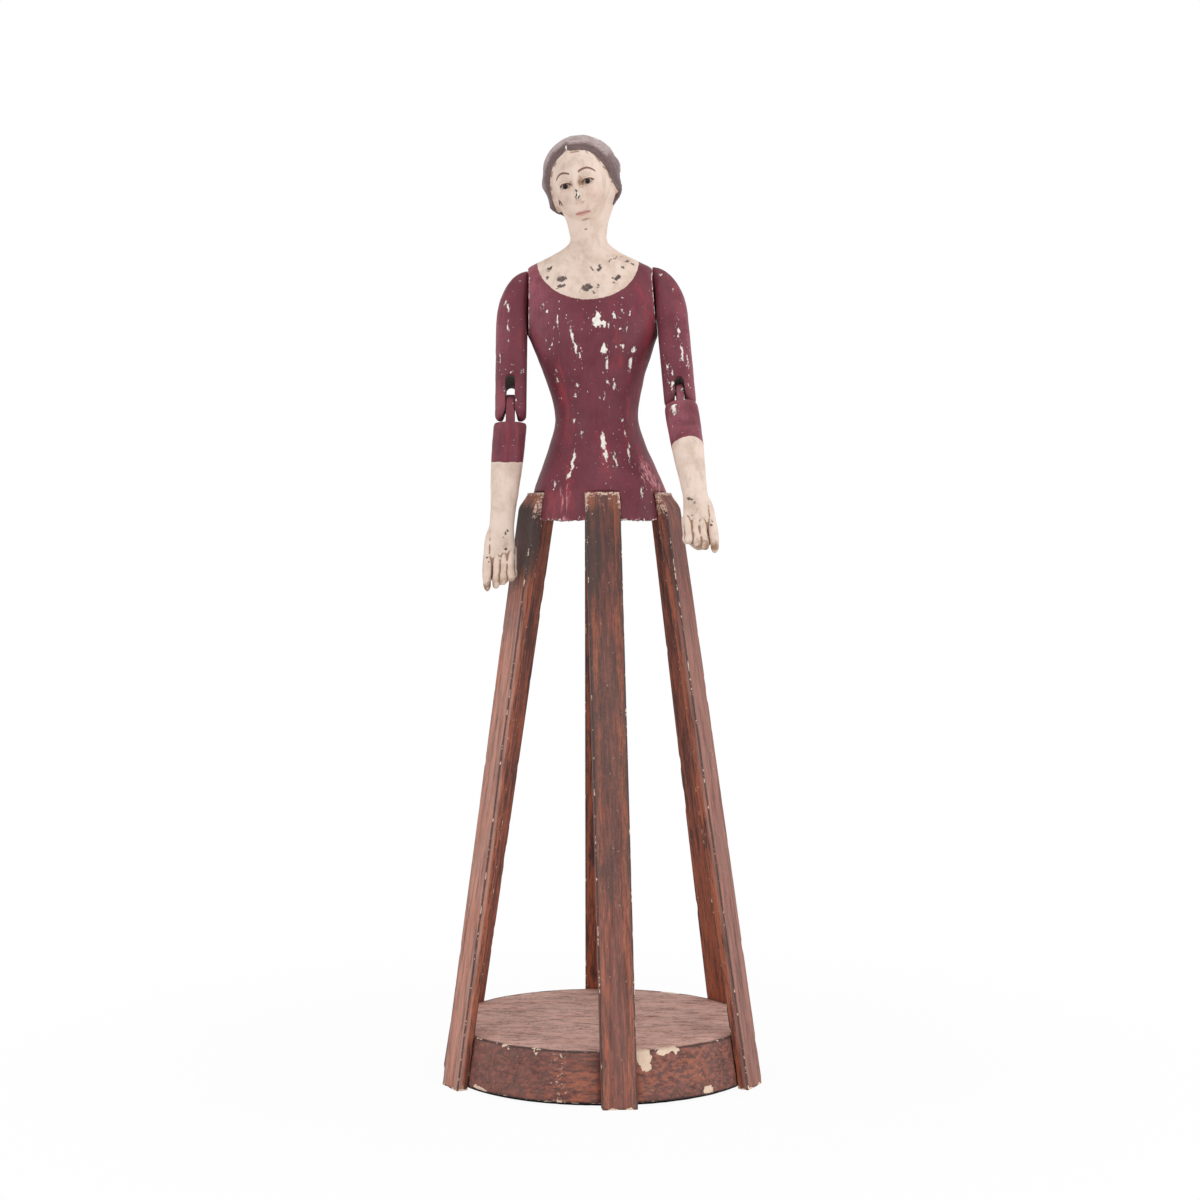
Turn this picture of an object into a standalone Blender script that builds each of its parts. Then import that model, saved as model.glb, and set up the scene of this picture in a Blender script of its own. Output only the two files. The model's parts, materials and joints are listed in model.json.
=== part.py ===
"""Cage doll: a carved and painted half figure on a cage of six wooden slats over a round base.

The figure looks along -Y and its own left hand is at +X. The origin is on the floor under the base.
The arms turn on shoulder pegs and the forearms on elbow pins. Everything else is pegged and glued together.
"""

import math
from collections import namedtuple

import bmesh
import bpy
from mathutils import Matrix, Vector

MM = 0.001
RING_POWER = 2.0
SMOOTH_ANGLE = math.radians(32)

# Clearances
GLUE_GAP = 0.3 * MM
TURNING_GAP = 0.35 * MM
ARM_GAP = 1.0 * MM
HIDDEN_END = 0.6 * MM
CUT_MARGIN = 4 * MM

# Base
FELT_THICKNESS = 2 * MM
FELT_INSET = 2 * MM
BASE_THICKNESS = 31 * MM
BASE_RADIUS = 103.5 * MM
BASE_EDGE = 1.2 * MM
BASE_SIDES = 72

# Cage slats: bearings at the foot and the top, in degrees from the front towards the figure's left
SLAT_WIDTH = 22 * MM
SLAT_THICKNESS = 7.5 * MM
SLAT_LAP = 17.5 * MM
SLAT_FOOT_HOUSING = 1.6 * MM
SLAT_TOP_HOUSING = 2.2 * MM
SLAT_TOP_BEVEL_HEIGHT = 11 * MM
SLAT_TOP_BEVEL_DEPTH = 5 * MM
SLAT_EDGE = 0.7 * MM
SLAT_BEARINGS = {
    "front": (6, 1),
    "front_left": (63, 66),
    "back_left": (126, 118),
    "back": (180, 180),
    "back_right": (241, 235),
    "front_right": (299, 289),
}
FOOT_PEG_RADIUS = 2.5 * MM
FOOT_PEG_LENGTH = 26 * MM
TOP_PEG_RADIUS = 1.8 * MM
TOP_PEG_LENGTH = 17 * MM
TOP_PEG_SHARE = 0.4
PEG_SIDES = 12

# Torso: levels measured up from its lower edge, which is round where the slats lie against it
HEM_HEIGHT = 360.5 * MM
HEM_RADIUS = 46.5 * MM
TORSO_LEAN = 2.6
TORSO_SIDES = 36
SHOULDER_HALF_WIDTH = 40.2 * MM
SHOULDER_ALLOWANCE = 6 * MM
Level = namedtuple("Level", "height half_width half_depth back")
HIP = Level(17.5 * MM, 43.4 * MM, 43.0 * MM, 0.0)
FLANK = Level(34 * MM, 37.2 * MM, 34.0 * MM, 0.0)
LOIN = Level(48 * MM, 31.6 * MM, 27.0 * MM, 0.0)
WAIST = Level(66 * MM, 27.1 * MM, 22.5 * MM, 0.0)
RIBS = Level(89 * MM, 31.3 * MM, 24.5 * MM, -0.5 * MM)
BUST = Level(113 * MM, 39.5 * MM, 27.5 * MM, -1.5 * MM)
CHEST = Level(132 * MM, SHOULDER_HALF_WIDTH + SHOULDER_ALLOWANCE, 26.5 * MM, -0.5 * MM)
SHOULDER = Level(152 * MM, SHOULDER_HALF_WIDTH + SHOULDER_ALLOWANCE, 22.5 * MM, 1.5 * MM)
SHOULDER_TOP = Level(164 * MM, 40 * MM, 18 * MM, 3.0 * MM)
COLLAR = Level(169 * MM, 30.5 * MM, 15.5 * MM, 3.6 * MM)
NECK_BASE = Level(174.5 * MM, 20 * MM, 13.2 * MM, 4.0 * MM)
THROAT = Level(179.5 * MM, 13.4 * MM, 12.2 * MM, 4.2 * MM)
NECK_TOP = Level(185.5 * MM, 11.4 * MM, 11.4 * MM, 4.2 * MM)
SHOULDER_FLAT_FROM = 92 * MM

# Head: its own frame has the face along -Y, the eyes level with the middle and the chin below
HEAD_RISE = 33.5 * MM
HEAD_SIDEWAYS = -4.4 * MM
HEAD_FORWARD = 3.5 * MM
HEAD_TURN = -12
HEAD_TILT = -12
HEAD_NOD = 6
SKULL_HALF_WIDTH = 20 * MM
SKULL_HALF_DEPTH = 23.5 * MM
SKULL_HALF_HEIGHT = 29.5 * MM
JAW_TAPER = 0.34
JAW_FORWARD = 0.1
HAIR_HALF_WIDTH = 25.3 * MM
HAIR_HALF_DEPTH = 27 * MM
HAIR_HALF_HEIGHT = 28 * MM
HAIR_BACK = 4 * MM
HAIR_RISE = 2.6 * MM
HAIRLINE_HALF_WIDTH = 19.4 * MM
HAIRLINE_TOP = 22 * MM
HAIRLINE_HALF_HEIGHT = 34 * MM
BUN_RADIUS = 12 * MM
BUN_BACK = 27 * MM
BUN_DROP = 9 * MM
BUN_FLATNESS = 0.8
NOSE_LENGTH = 14 * MM
NOSE_WIDTH = 6.4 * MM
NOSE_HEIGHT = 5.6 * MM
NOSE_STATIONS = [(0.2, 0.3, 0.45), (-0.24, 0.62, 0.6), (-0.8, 1.0, 1.0)]
EYE_RADIUS = 3.7 * MM
EYE_SPACING = 16.6 * MM
EYE_DEPTH = 2.4 * MM
EYE_SIDES = 14
HEAD_SIDES = 28
BUN_SIDES = 18
NOSE_SIDES = 10
NECK_SIDES = 24
NECK_FLARES = (1.02, 1.16, 1.5)
NECK_DOWEL_RADIUS = 4 * MM
NECK_DOWEL_LENGTH = 32 * MM

# Arms: the splay is how far each arm stands out sideways and the rest angles are how far it is swung forward
SHOULDER_PEG_HEIGHTS = {"left": 150 * MM, "right": 147.5 * MM}
SHOULDER_PEG_RADIUS = 4 * MM
SHOULDER_PEG_IN_TORSO = 14 * MM
SHOULDER_PEG_IN_ARM = 12 * MM
ARM_SPLAY = {"left": 4.6, "right": 0.5}
SHOULDER_REST = {"left": 22, "right": 8}
ELBOW_REST = {"left": 8, "right": 0}
UPPER_ARM_LENGTH = 75.5 * MM
UPPER_ARM_ABOVE_PEG = 13.5 * MM
UPPER_ARM_WIDTH = 20.4 * MM
UPPER_ARM_HALF_DEPTH = 11.6 * MM
SHOULDER_CAP_HEIGHT = 36 * MM
UPPER_ARM_POWER = 2.6
SHOULDER_CAP_THINNING = 0.55
INNER_FLAT_DEPTH = 1.2 * MM
SHOULDER_CAP_TURNS = (8, 22, 40, 60, 78)
ELBOW_TURNS = (0, 35, 60, 78)
ELBOW_HALF_DEPTH = 9.6 * MM
ELBOW_CLEARANCE = 1.4 * MM
FORK_BELOW_PIN = 9.4 * MM
FORK_SIDE_GAP = 0.6 * MM
FORK_SLOT_HEADROOMS = {"left": 1.6 * MM, "right": 11.4 * MM}
ELBOW_PIN_RADIUS = 1.7 * MM
TONGUE_WIDTH = 4.8 * MM
TONGUE_RADIUS = 6.2 * MM
TONGUE_STEPS = 8
ARM_SIDES = 20

# Forearm and hand: levels measured down from the elbow pin
FOREARM_SPLAY = {"left": 2.8, "right": 4}
FOREARM_TOP_HALF_WIDTH = 10.8 * MM
FOREARM_TOP_HALF_DEPTH = 10.2 * MM
SLEEVE_END = 39 * MM
SLEEVE_HALF_WIDTH = 10.2 * MM
SLEEVE_HALF_DEPTH = 9.6 * MM
WRIST = 76 * MM
WRIST_HALF_WIDTH = 7.9 * MM
WRIST_HALF_DEPTH = 6.6 * MM
KNUCKLES = 97 * MM
KNUCKLE_HALF_WIDTH = 10.2 * MM
KNUCKLE_HALF_DEPTH = 5 * MM
PALM_END = 101 * MM
FOREARM_POWER = 2.3
FOREARM_STEPS = 4
FINGER_RADIUS = 2.3 * MM
FINGER_TIP_RADIUS = 1.8 * MM
FINGER_TIP_REACH = 0.75
FINGER_TIP_SHARE = 0.6
Finger = namedtuple("Finger", "across behind length")
FINGERS = {
    "little": Finger(-8.9 * MM, 1.8 * MM, 17 * MM),
    "ring": Finger(-7.0 * MM, 0.0, 20 * MM),
    "middle": Finger(-2.9 * MM, 0.0, 22.5 * MM),
    "index": Finger(1.2 * MM, 0.0, 25 * MM),
}
FINGER_CURL = 22
THUMB_START = 80 * MM
THUMB_LENGTH = 42 * MM
THUMB_RADIUS = 3.0 * MM
THUMB_ANGLE = 6.5
FINGER_SIDES = 10

# Places worked out from the sizes above
BASE_BOTTOM = FELT_THICKNESS + GLUE_GAP
BASE_TOP = BASE_BOTTOM + BASE_THICKNESS
SLAT_TOP = HEM_HEIGHT + SLAT_LAP
FOOT_SEAT = BASE_RADIUS - SLAT_FOOT_HOUSING + GLUE_GAP
HEM_SEAT = HEM_RADIUS - SLAT_TOP_HOUSING + GLUE_GAP
SLAT_SLOPE = (FOOT_SEAT - HEM_SEAT) / (HEM_HEIGHT - BASE_BOTTOM)
FOREARM_TOP = ELBOW_HALF_DEPTH + ELBOW_CLEARANCE
SIDES = {"left": 1, "right": -1}

COLOURS = {
    "stained_wood": ((0.17, 0.055, 0.03, 1), 0.55),
    "burgundy_paint": ((0.16, 0.03, 0.05, 1), 0.5),
    "flesh_paint": ((0.78, 0.62, 0.5, 1), 0.55),
    "bare_wood": ((0.55, 0.38, 0.22, 1), 0.7),
    "black_felt": ((0.01, 0.01, 0.011, 1), 0.95),
    "dark_glass": ((0.03, 0.015, 0.01, 1), 0.08),
}


def material(name):
    """The named finish, made once."""
    found = bpy.data.materials.get(name)
    if found:
        return found
    colour, roughness = COLOURS[name]
    made = bpy.data.materials.new(name)
    made.use_nodes = True
    shader = made.node_tree.nodes["Principled BSDF"]
    shader.inputs["Base Color"].default_value = colour
    shader.inputs["Roughness"].default_value = roughness
    shader.inputs["Metallic"].default_value = 0.0
    return made


def add_object(name, bm, finish, frame=Matrix.Identity(4)):
    """Turns a bmesh into a named object in a frame, with its faces pointing out."""
    bmesh.ops.recalc_face_normals(bm, faces=bm.faces)
    mesh = bpy.data.meshes.new(name)
    bm.to_mesh(mesh)
    bm.free()
    mesh.shade_smooth()
    mesh.set_sharp_from_angle(angle=SMOOTH_ANGLE)
    mesh.materials.append(material(finish))
    obj = bpy.data.objects.new(name, mesh)
    obj.matrix_world = frame
    bpy.context.scene.collection.objects.link(obj)
    return obj


def add_helper(name, bm, frame=Matrix.Identity(4)):
    """A hidden solid that only cuts or joins other solids."""
    helper = add_object(name, bm, "bare_wood", frame)
    helper.hide_render = True
    helper.display_type = "WIRE"
    return helper


def combine(obj, helper, operation):
    modifier = obj.modifiers.new(helper.name, "BOOLEAN")
    modifier.operation = operation
    modifier.solver = "EXACT"
    modifier.object = helper


def extrude_ring(bm, ring, points):
    """Extrudes a closed ring of vertices to new places and returns the new ring."""
    edges = [bm.edges.get((a, b)) for a, b in zip(ring, ring[1:] + ring[:1])]
    made = bmesh.ops.extrude_edge_only(bm, edges=edges)["geom"]
    fresh = {item for item in made if isinstance(item, bmesh.types.BMVert)}
    following = []
    for vert, point in zip(ring, points):
        twin = next(e.other_vert(vert) for e in vert.link_edges if e.other_vert(vert) in fresh)
        twin.co = point
        following.append(twin)
    return following


def loft(rings):
    """A closed bmesh through a stack of rings that have the same number of points."""
    bm = bmesh.new()
    ring = [bm.verts.new(point) for point in rings[0]]
    for a, b in zip(ring, ring[1:] + ring[:1]):
        bm.edges.new((a, b))
    first = list(ring)
    for points in rings[1:]:
        ring = extrude_ring(bm, ring, points)
    bm.faces.new(first)
    bm.faces.new(ring)
    return bm


def oval(x, y, z, half_x, half_y, sides, power=RING_POWER):
    """A level ring of points; a power over 2 makes it squarer."""
    points = []
    for step in range(sides):
        turn = 2 * math.pi * step / sides
        across, along = math.cos(turn), math.sin(turn)
        across = math.copysign(abs(across) ** (2 / power), across)
        along = math.copysign(abs(along) ** (2 / power), along)
        points.append(Vector((x + half_x * across, y + half_y * along, z)))
    return points


def smooth_between(levels, height):
    """The sizes at a height, on smooth curves through levels whose first value is their height."""
    heights = [level[0] for level in levels]
    index = max(i for i in range(len(levels) - 1) if heights[i] <= height)
    low, high = levels[index], levels[index + 1]
    span = high[0] - low[0]
    t = (height - low[0]) / span

    def slope(i, k):
        before, after = max(i - 1, 0), min(i + 1, len(levels) - 1)
        return (levels[after][k] - levels[before][k]) / (heights[after] - heights[before])

    sizes = []
    for k in range(1, len(low)):
        start, end = slope(index, k) * span, slope(index + 1, k) * span
        sizes.append(
            (2 * t**3 - 3 * t**2 + 1) * low[k]
            + (t**3 - 2 * t**2 + t) * start
            + (3 * t**2 - 2 * t**3) * high[k]
            + (t**3 - t**2) * end
        )
    return sizes


def cylinder(start, end, radius, sides):
    """A closed cylinder between two points."""
    bm = bmesh.new()
    axis = end - start
    bmesh.ops.create_cone(
        bm, cap_ends=True, segments=sides, radius1=radius, radius2=radius, depth=axis.length
    )
    turn = axis.to_track_quat("Z", "Y").to_matrix().to_4x4()
    bmesh.ops.transform(bm, matrix=Matrix.Translation((start + end) / 2) @ turn, verts=bm.verts)
    return bm


def ball(radii, centre, sides):
    """A closed ellipsoid."""
    bm = bmesh.new()
    bmesh.ops.create_uvsphere(bm, u_segments=sides, v_segments=sides * 2 // 3, radius=1)
    bmesh.ops.scale(bm, vec=radii, verts=bm.verts)
    bmesh.ops.translate(bm, vec=centre, verts=bm.verts)
    return bm


def block(low, high):
    """A closed box between two corners."""
    bm = bmesh.new()
    bmesh.ops.create_cube(bm, size=1)
    low, high = Vector(low), Vector(high)
    bmesh.ops.scale(bm, vec=high - low, verts=bm.verts)
    bmesh.ops.translate(bm, vec=(low + high) / 2, verts=bm.verts)
    return bm


# Base


def add_base():
    """A felt pad and a round board whose rim slopes with the slats."""
    pad = cylinder(Vector(), Vector((0, 0, FELT_THICKNESS)), FOOT_SEAT - FELT_INSET, BASE_SIDES)
    add_object("felt_pad", pad, "black_felt")
    top_radius = BASE_RADIUS - BASE_THICKNESS * SLAT_SLOPE
    edge_run = BASE_EDGE * SLAT_SLOPE
    rims = [
        (BASE_BOTTOM, BASE_RADIUS - BASE_EDGE),
        (BASE_BOTTOM + BASE_EDGE, BASE_RADIUS - edge_run),
        (BASE_TOP - BASE_EDGE, top_radius + edge_run),
        (BASE_TOP, top_radius - BASE_EDGE),
    ]
    board = loft([oval(0, 0, z, radius, radius, BASE_SIDES) for z, radius in rims])
    return add_object("base_board", board, "stained_wood")


# Cage


def slat_frame(bearings):
    """Where a slat stands: its face directions and how far its top is off to the side of its foot."""
    foot, top = (math.radians(bearing) for bearing in bearings)
    outward = Vector((math.sin(foot), -math.cos(foot), 0))
    sideways = Vector((math.cos(foot), math.sin(foot), 0))
    top_point = Vector((math.sin(top), -math.cos(top), 0)) * HEM_SEAT
    return outward, sideways, top_point.dot(sideways) / (HEM_HEIGHT - BASE_BOTTOM)


def seat_radius(z):
    """How far out the slats' inner faces are at a height."""
    return FOOT_SEAT - (z - BASE_BOTTOM) * SLAT_SLOPE


def slat_solid(bearings, grow):
    """A leaning slat with a bevelled top. Grown, it is the cutter of the housings that it sits in."""
    outward, sideways, drift = slat_frame(bearings)
    thickness = SLAT_THICKNESS * math.hypot(1, SLAT_SLOPE) + grow
    low = -grow * CUT_MARGIN / GLUE_GAP
    high = SLAT_TOP - low
    bevel_height = 0 if grow else SLAT_TOP_BEVEL_HEIGHT
    bevel_depth = 0 if grow else SLAT_TOP_BEVEL_DEPTH
    inner_low, inner_high = seat_radius(low) - grow, seat_radius(high) - grow
    bevel_start = seat_radius(high - bevel_height) - grow
    outline = [
        (inner_low, low),
        (inner_low + thickness, low),
        (bevel_start + thickness, high - bevel_height),
        (inner_high + thickness - bevel_depth, high),
        (inner_high, high),
    ]
    if grow:
        del outline[2]
    half = SLAT_WIDTH / 2 + grow
    bm = bmesh.new()
    corners = []
    for radius, z in outline:
        point = outward * radius + sideways * (drift * (z - BASE_BOTTOM) - half)
        corners.append(bm.verts.new(point + Vector((0, 0, z))))
    face = bm.faces.new(corners)
    made = bmesh.ops.extrude_face_region(bm, geom=[face])["geom"]
    far = [item for item in made if isinstance(item, bmesh.types.BMVert)]
    bmesh.ops.translate(bm, vec=sideways * 2 * half, verts=far)
    return bm


def slat_peg_line(bearings, z, length):
    """The two ends of a peg that goes in through a slat's outer face at a height."""
    outward, sideways, drift = slat_frame(bearings)
    outer = seat_radius(z) + SLAT_THICKNESS - HIDDEN_END
    start = outward * outer + sideways * drift * (z - BASE_BOTTOM) + Vector((0, 0, z))
    return start, start - outward * length


def add_slat(name, bearings, base, torso):
    """One slat in its two housings, with the pegs that hold its foot and its top."""
    slat = add_object(f"slat_{name}", slat_solid(bearings, 0), "stained_wood")
    bevel = slat.modifiers.new("worn_edges", "BEVEL")
    bevel.width = SLAT_EDGE
    bevel.segments = 1
    bevel.limit_method = "ANGLE"
    housing = add_helper(f"cut_housing_{name}", slat_solid(bearings, GLUE_GAP))
    pegs = {
        "foot": (base, (BASE_BOTTOM + BASE_TOP) / 2, FOOT_PEG_LENGTH, FOOT_PEG_RADIUS),
        "top": (torso, HEM_HEIGHT + SLAT_LAP * TOP_PEG_SHARE, TOP_PEG_LENGTH, TOP_PEG_RADIUS),
    }
    for end, (holder, z, length, radius) in pegs.items():
        combine(holder, housing, "DIFFERENCE")
        start, finish = slat_peg_line(bearings, z, length)
        add_object(f"{end}_peg_{name}", cylinder(start, finish, radius, PEG_SIDES), "bare_wood")
        inward = (finish - start).normalized()
        bore = cylinder(
            start - inward * CUT_MARGIN, finish + inward * GLUE_GAP, radius + GLUE_GAP, PEG_SIDES
        )
        cutter = add_helper(f"cut_{end}_peg_{name}", bore)
        combine(slat, cutter, "DIFFERENCE")
        combine(holder, cutter, "DIFFERENCE")


# Torso


def torso_middle(height):
    """The torso's middle at a height above its lower edge; it leans to the figure's right."""
    return -height * math.tan(math.radians(TORSO_LEAN))


def torso_levels():
    hem = Level(0.0, HEM_RADIUS, HEM_RADIUS, 0.0)
    below = [hem, HIP, FLANK, LOIN, WAIST, RIBS, BUST]
    return below + [CHEST, SHOULDER, SHOULDER_TOP, COLLAR, NECK_BASE, THROAT, NECK_TOP]


def add_torso():
    """The carved bodice, from the lower edge to the neck joint, with flats for the arms."""
    levels = torso_levels()
    heights = []
    for low, high in zip(levels, levels[1:]):
        heights += [low.height, (low.height + high.height) / 2]
    heights.append(levels[-1].height)
    rings = []
    for height in heights:
        half_width, half_depth, back = smooth_between(levels, min(height, levels[-1].height))
        x, z = torso_middle(height), HEM_HEIGHT + height
        rings.append(oval(x, back, z, half_width, half_depth, TORSO_SIDES))
    torso = add_object("torso", loft(rings), "burgundy_paint")
    reach = SHOULDER.half_width
    for side, peg_height in SHOULDER_PEG_HEIGHTS.items():
        low = SHOULDER_FLAT_FROM - peg_height
        flat = for_side(block((-ARM_GAP, -reach, low), (reach, reach, reach)), side)
        helper = add_helper(f"cut_shoulder_flat_{side}", flat, shoulder_frame(side))
        combine(torso, helper, "DIFFERENCE")
    return torso


# Head


def head_frame():
    """The head's own frame: turned, tilted and nodding above the neck joint."""
    x = torso_middle(NECK_TOP.height) + HEAD_SIDEWAYS
    place = Vector((x, NECK_TOP.back - HEAD_FORWARD, HEM_HEIGHT + NECK_TOP.height + HEAD_RISE))
    turn = Matrix.Rotation(math.radians(HEAD_TURN), 4, "Z")
    tilt = Matrix.Rotation(math.radians(HEAD_TILT), 4, "Y")
    nod = Matrix.Rotation(math.radians(HEAD_NOD), 4, "X")
    return Matrix.Translation(place) @ tilt @ turn @ nod


def neck_joint():
    return Vector((torso_middle(NECK_TOP.height), NECK_TOP.back, HEM_HEIGHT + NECK_TOP.height))


def skull_solid():
    """The face and skull: an egg that narrows to the chin."""
    radii = (SKULL_HALF_WIDTH, SKULL_HALF_DEPTH, SKULL_HALF_HEIGHT)
    bm = ball(radii, (0, 0, 0), HEAD_SIDES)
    for vert in bm.verts:
        fall = max(0.0, -vert.co.z / SKULL_HALF_HEIGHT)
        vert.co.x *= 1 - JAW_TAPER * fall**1.5
        vert.co.y -= SKULL_HALF_DEPTH * JAW_FORWARD * fall**2
    return bm


def hair_solids():
    """The hair mass round the face, the window it leaves for the face, and the bun behind."""
    radii = (HAIR_HALF_WIDTH, HAIR_HALF_DEPTH, HAIR_HALF_HEIGHT)
    hair = ball(radii, (0, HAIR_BACK, HAIR_RISE), HEAD_SIDES)
    drop = HAIRLINE_TOP - HAIRLINE_HALF_HEIGHT
    rings = []
    for y in (-2 * HAIR_HALF_DEPTH, -HAIR_BACK):
        ring = oval(0, drop, y, HAIRLINE_HALF_WIDTH, HAIRLINE_HALF_HEIGHT, HEAD_SIDES)
        rings.append([Vector((p.x, p.z, p.y)) for p in ring])
    bun = ball((BUN_RADIUS, BUN_RADIUS * BUN_FLATNESS, BUN_RADIUS), (0, BUN_BACK, -BUN_DROP), BUN_SIDES)
    return hair, loft(rings), bun


def nose_solid():
    """A wedge through stations: shares of its length, height and width, from the brow to the tip."""
    root = -SKULL_HALF_DEPTH + NOSE_HEIGHT
    rings = []
    for up, rise, wide in NOSE_STATIONS:
        half = NOSE_WIDTH / 2 * wide
        rings.append(oval(0, root, up * NOSE_LENGTH, half, NOSE_HEIGHT * (1 + rise), NOSE_SIDES))
    return loft(rings)


def add_head():
    """The head with its hair, the glass eyes in it and the dowel in its neck."""
    frame = head_frame()
    head = add_object("head", skull_solid(), "flesh_paint", frame)
    hair, window, bun = hair_solids()
    hair = add_helper("form_hair", hair, frame)
    combine(hair, add_helper("cut_hairline", window, frame), "DIFFERENCE")
    joint = neck_joint() + Vector((0, 0, GLUE_GAP))
    above = frame @ Vector((0, 0, -SKULL_HALF_HEIGHT / 2))
    stem = zip((joint, joint.lerp(above, 0.5), above), NECK_FLARES)
    neck = loft(
        [
            oval(at.x, at.y, at.z, NECK_TOP.half_width * size, NECK_TOP.half_depth * size, NECK_SIDES)
            for at, size in stem
        ]
    )
    combine(head, add_helper("form_neck", neck), "UNION")
    combine(head, hair, "UNION")
    combine(head, add_helper("form_bun", bun, frame), "UNION")
    combine(head, add_helper("form_nose", nose_solid(), frame), "UNION")
    for side, sign in SIDES.items():
        x = sign * EYE_SPACING / 2
        y = -SKULL_HALF_DEPTH * math.sqrt(1 - (x / SKULL_HALF_WIDTH) ** 2) + EYE_DEPTH
        eye = ball((EYE_RADIUS,) * 3, (x, y, 0), EYE_SIDES)
        add_object(f"glass_eye_{side}", eye, "dark_glass", frame)
        socket = ball((EYE_RADIUS + GLUE_GAP,) * 3, (x, y, 0), EYE_SIDES)
        combine(head, add_helper(f"cut_eye_socket_{side}", socket, frame), "DIFFERENCE")
    return head


def add_neck_dowel(head, torso):
    half = Vector((0, 0, NECK_DOWEL_LENGTH / 2))
    gap = Vector((0, 0, GLUE_GAP))
    joint = neck_joint()
    dowel = cylinder(joint - half, joint + half, NECK_DOWEL_RADIUS, PEG_SIDES)
    add_object("neck_dowel", dowel, "bare_wood")
    radius = NECK_DOWEL_RADIUS + GLUE_GAP
    bore = cylinder(joint - half - gap, joint + half + gap, radius, PEG_SIDES)
    cutter = add_helper("cut_neck_dowel", bore)
    combine(head, cutter, "DIFFERENCE")
    combine(torso, cutter, "DIFFERENCE")


# Arms: an arm's own frame has X along the joint axes, -Y forward and -Z down the arm


def for_side(bm, side):
    """Shapes are drawn for the left side, with X outward, and mirrored for the right."""
    bmesh.ops.scale(bm, vec=(SIDES[side], 1, 1), verts=bm.verts)
    return bm


def turned(degrees, axis):
    return Matrix.Rotation(math.radians(degrees), 4, axis)


def shoulder_frame(side):
    """On the shoulder peg's axis, at the arm's inner face, before the arm swings."""
    sign, height = SIDES[side], SHOULDER_PEG_HEIGHTS[side]
    x = torso_middle(height) + sign * (SHOULDER_HALF_WIDTH + ARM_GAP)
    place = Matrix.Translation((x, SHOULDER.back, HEM_HEIGHT + height))
    return place @ turned(-sign * ARM_SPLAY[side], "Y")


def upper_arm_frame(side):
    """The shoulder frame with the arm swung forward to its rest."""
    return shoulder_frame(side) @ turned(-SHOULDER_REST[side], "X")


def fork_frame(side):
    """The upper arm's frame, moved down to the elbow pin's middle."""
    pin = Vector((SIDES[side] * UPPER_ARM_WIDTH / 2, 0, -UPPER_ARM_LENGTH))
    return upper_arm_frame(side) @ Matrix.Translation(pin)


def forearm_frame(side):
    """On the elbow pin's axis, with the forearm bent to its rest."""
    return fork_frame(side) @ turned(-ELBOW_REST[side], "X")


def upper_arm_solid():
    """A shoulder cap, a straight arm with a flat inner face and a rounded lower end."""
    cap_start = UPPER_ARM_ABOVE_PEG - SHOULDER_CAP_HEIGHT
    rings = []

    def add_ring(z, width, half_depth):
        half = (width + INNER_FLAT_DEPTH) / 2
        rings.append(oval(half - INNER_FLAT_DEPTH, 0, z, half, half_depth, ARM_SIDES, UPPER_ARM_POWER))

    for turn in SHOULDER_CAP_TURNS:
        wide = math.sin(math.radians(turn))
        depth = UPPER_ARM_HALF_DEPTH * (1 - SHOULDER_CAP_THINNING * (1 - wide))
        z = cap_start + SHOULDER_CAP_HEIGHT * math.cos(math.radians(turn))
        add_ring(z, UPPER_ARM_WIDTH * wide, depth)
    add_ring(cap_start, UPPER_ARM_WIDTH, UPPER_ARM_HALF_DEPTH)
    for turn in ELBOW_TURNS:
        z = -UPPER_ARM_LENGTH - FORK_BELOW_PIN * math.sin(math.radians(turn))
        add_ring(z, UPPER_ARM_WIDTH, ELBOW_HALF_DEPTH * math.cos(math.radians(turn)))
    bm = loft(rings)
    everything = bm.verts[:] + bm.edges[:] + bm.faces[:]
    cut = bmesh.ops.bisect_plane(bm, geom=everything, plane_no=(-1, 0, 0), clear_outer=True)
    rim = [item for item in cut["geom_cut"] if isinstance(item, bmesh.types.BMEdge)]
    bmesh.ops.holes_fill(bm, edges=rim, sides=len(rim))
    return bm


def fork_slot_solid(side):
    """The slot through the lower end, wider than the tongue and higher than it turns."""
    half_width = TONGUE_WIDTH / 2 + FORK_SIDE_GAP
    half_depth = UPPER_ARM_HALF_DEPTH + CUT_MARGIN
    low = (-half_width, -half_depth, -FORK_BELOW_PIN - CUT_MARGIN)
    return block(low, (half_width, half_depth, TONGUE_RADIUS + FORK_SLOT_HEADROOMS[side]))


def forearm_drift(down, side):
    """How far the forearm has bent outward from the tongue, at a distance below the pin."""
    return (down - FOREARM_TOP) * math.tan(math.radians(FOREARM_SPLAY[side]))


def forearm_solid(side):
    """The forearm from its top to the end of the palm."""
    levels = [
        (FOREARM_TOP, FOREARM_TOP_HALF_WIDTH, FOREARM_TOP_HALF_DEPTH),
        (SLEEVE_END, SLEEVE_HALF_WIDTH, SLEEVE_HALF_DEPTH),
        (WRIST, WRIST_HALF_WIDTH, WRIST_HALF_DEPTH),
        (KNUCKLES, KNUCKLE_HALF_WIDTH, KNUCKLE_HALF_DEPTH),
        (PALM_END, KNUCKLE_HALF_WIDTH - FINGER_RADIUS / 2, KNUCKLE_HALF_DEPTH - FINGER_RADIUS / 2),
    ]
    downs = [levels[-1][0]]
    for low, high in zip(levels, levels[1:]):
        downs += [low[0] + (high[0] - low[0]) * step / FOREARM_STEPS for step in range(FOREARM_STEPS)]
    rings = []
    for down in sorted(downs):
        half_width, half_depth = smooth_between(levels, down)
        middle = forearm_drift(down, side)
        rings.append(oval(middle, 0, -down, half_width, half_depth, ARM_SIDES, FOREARM_POWER))
    return loft(rings)


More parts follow.
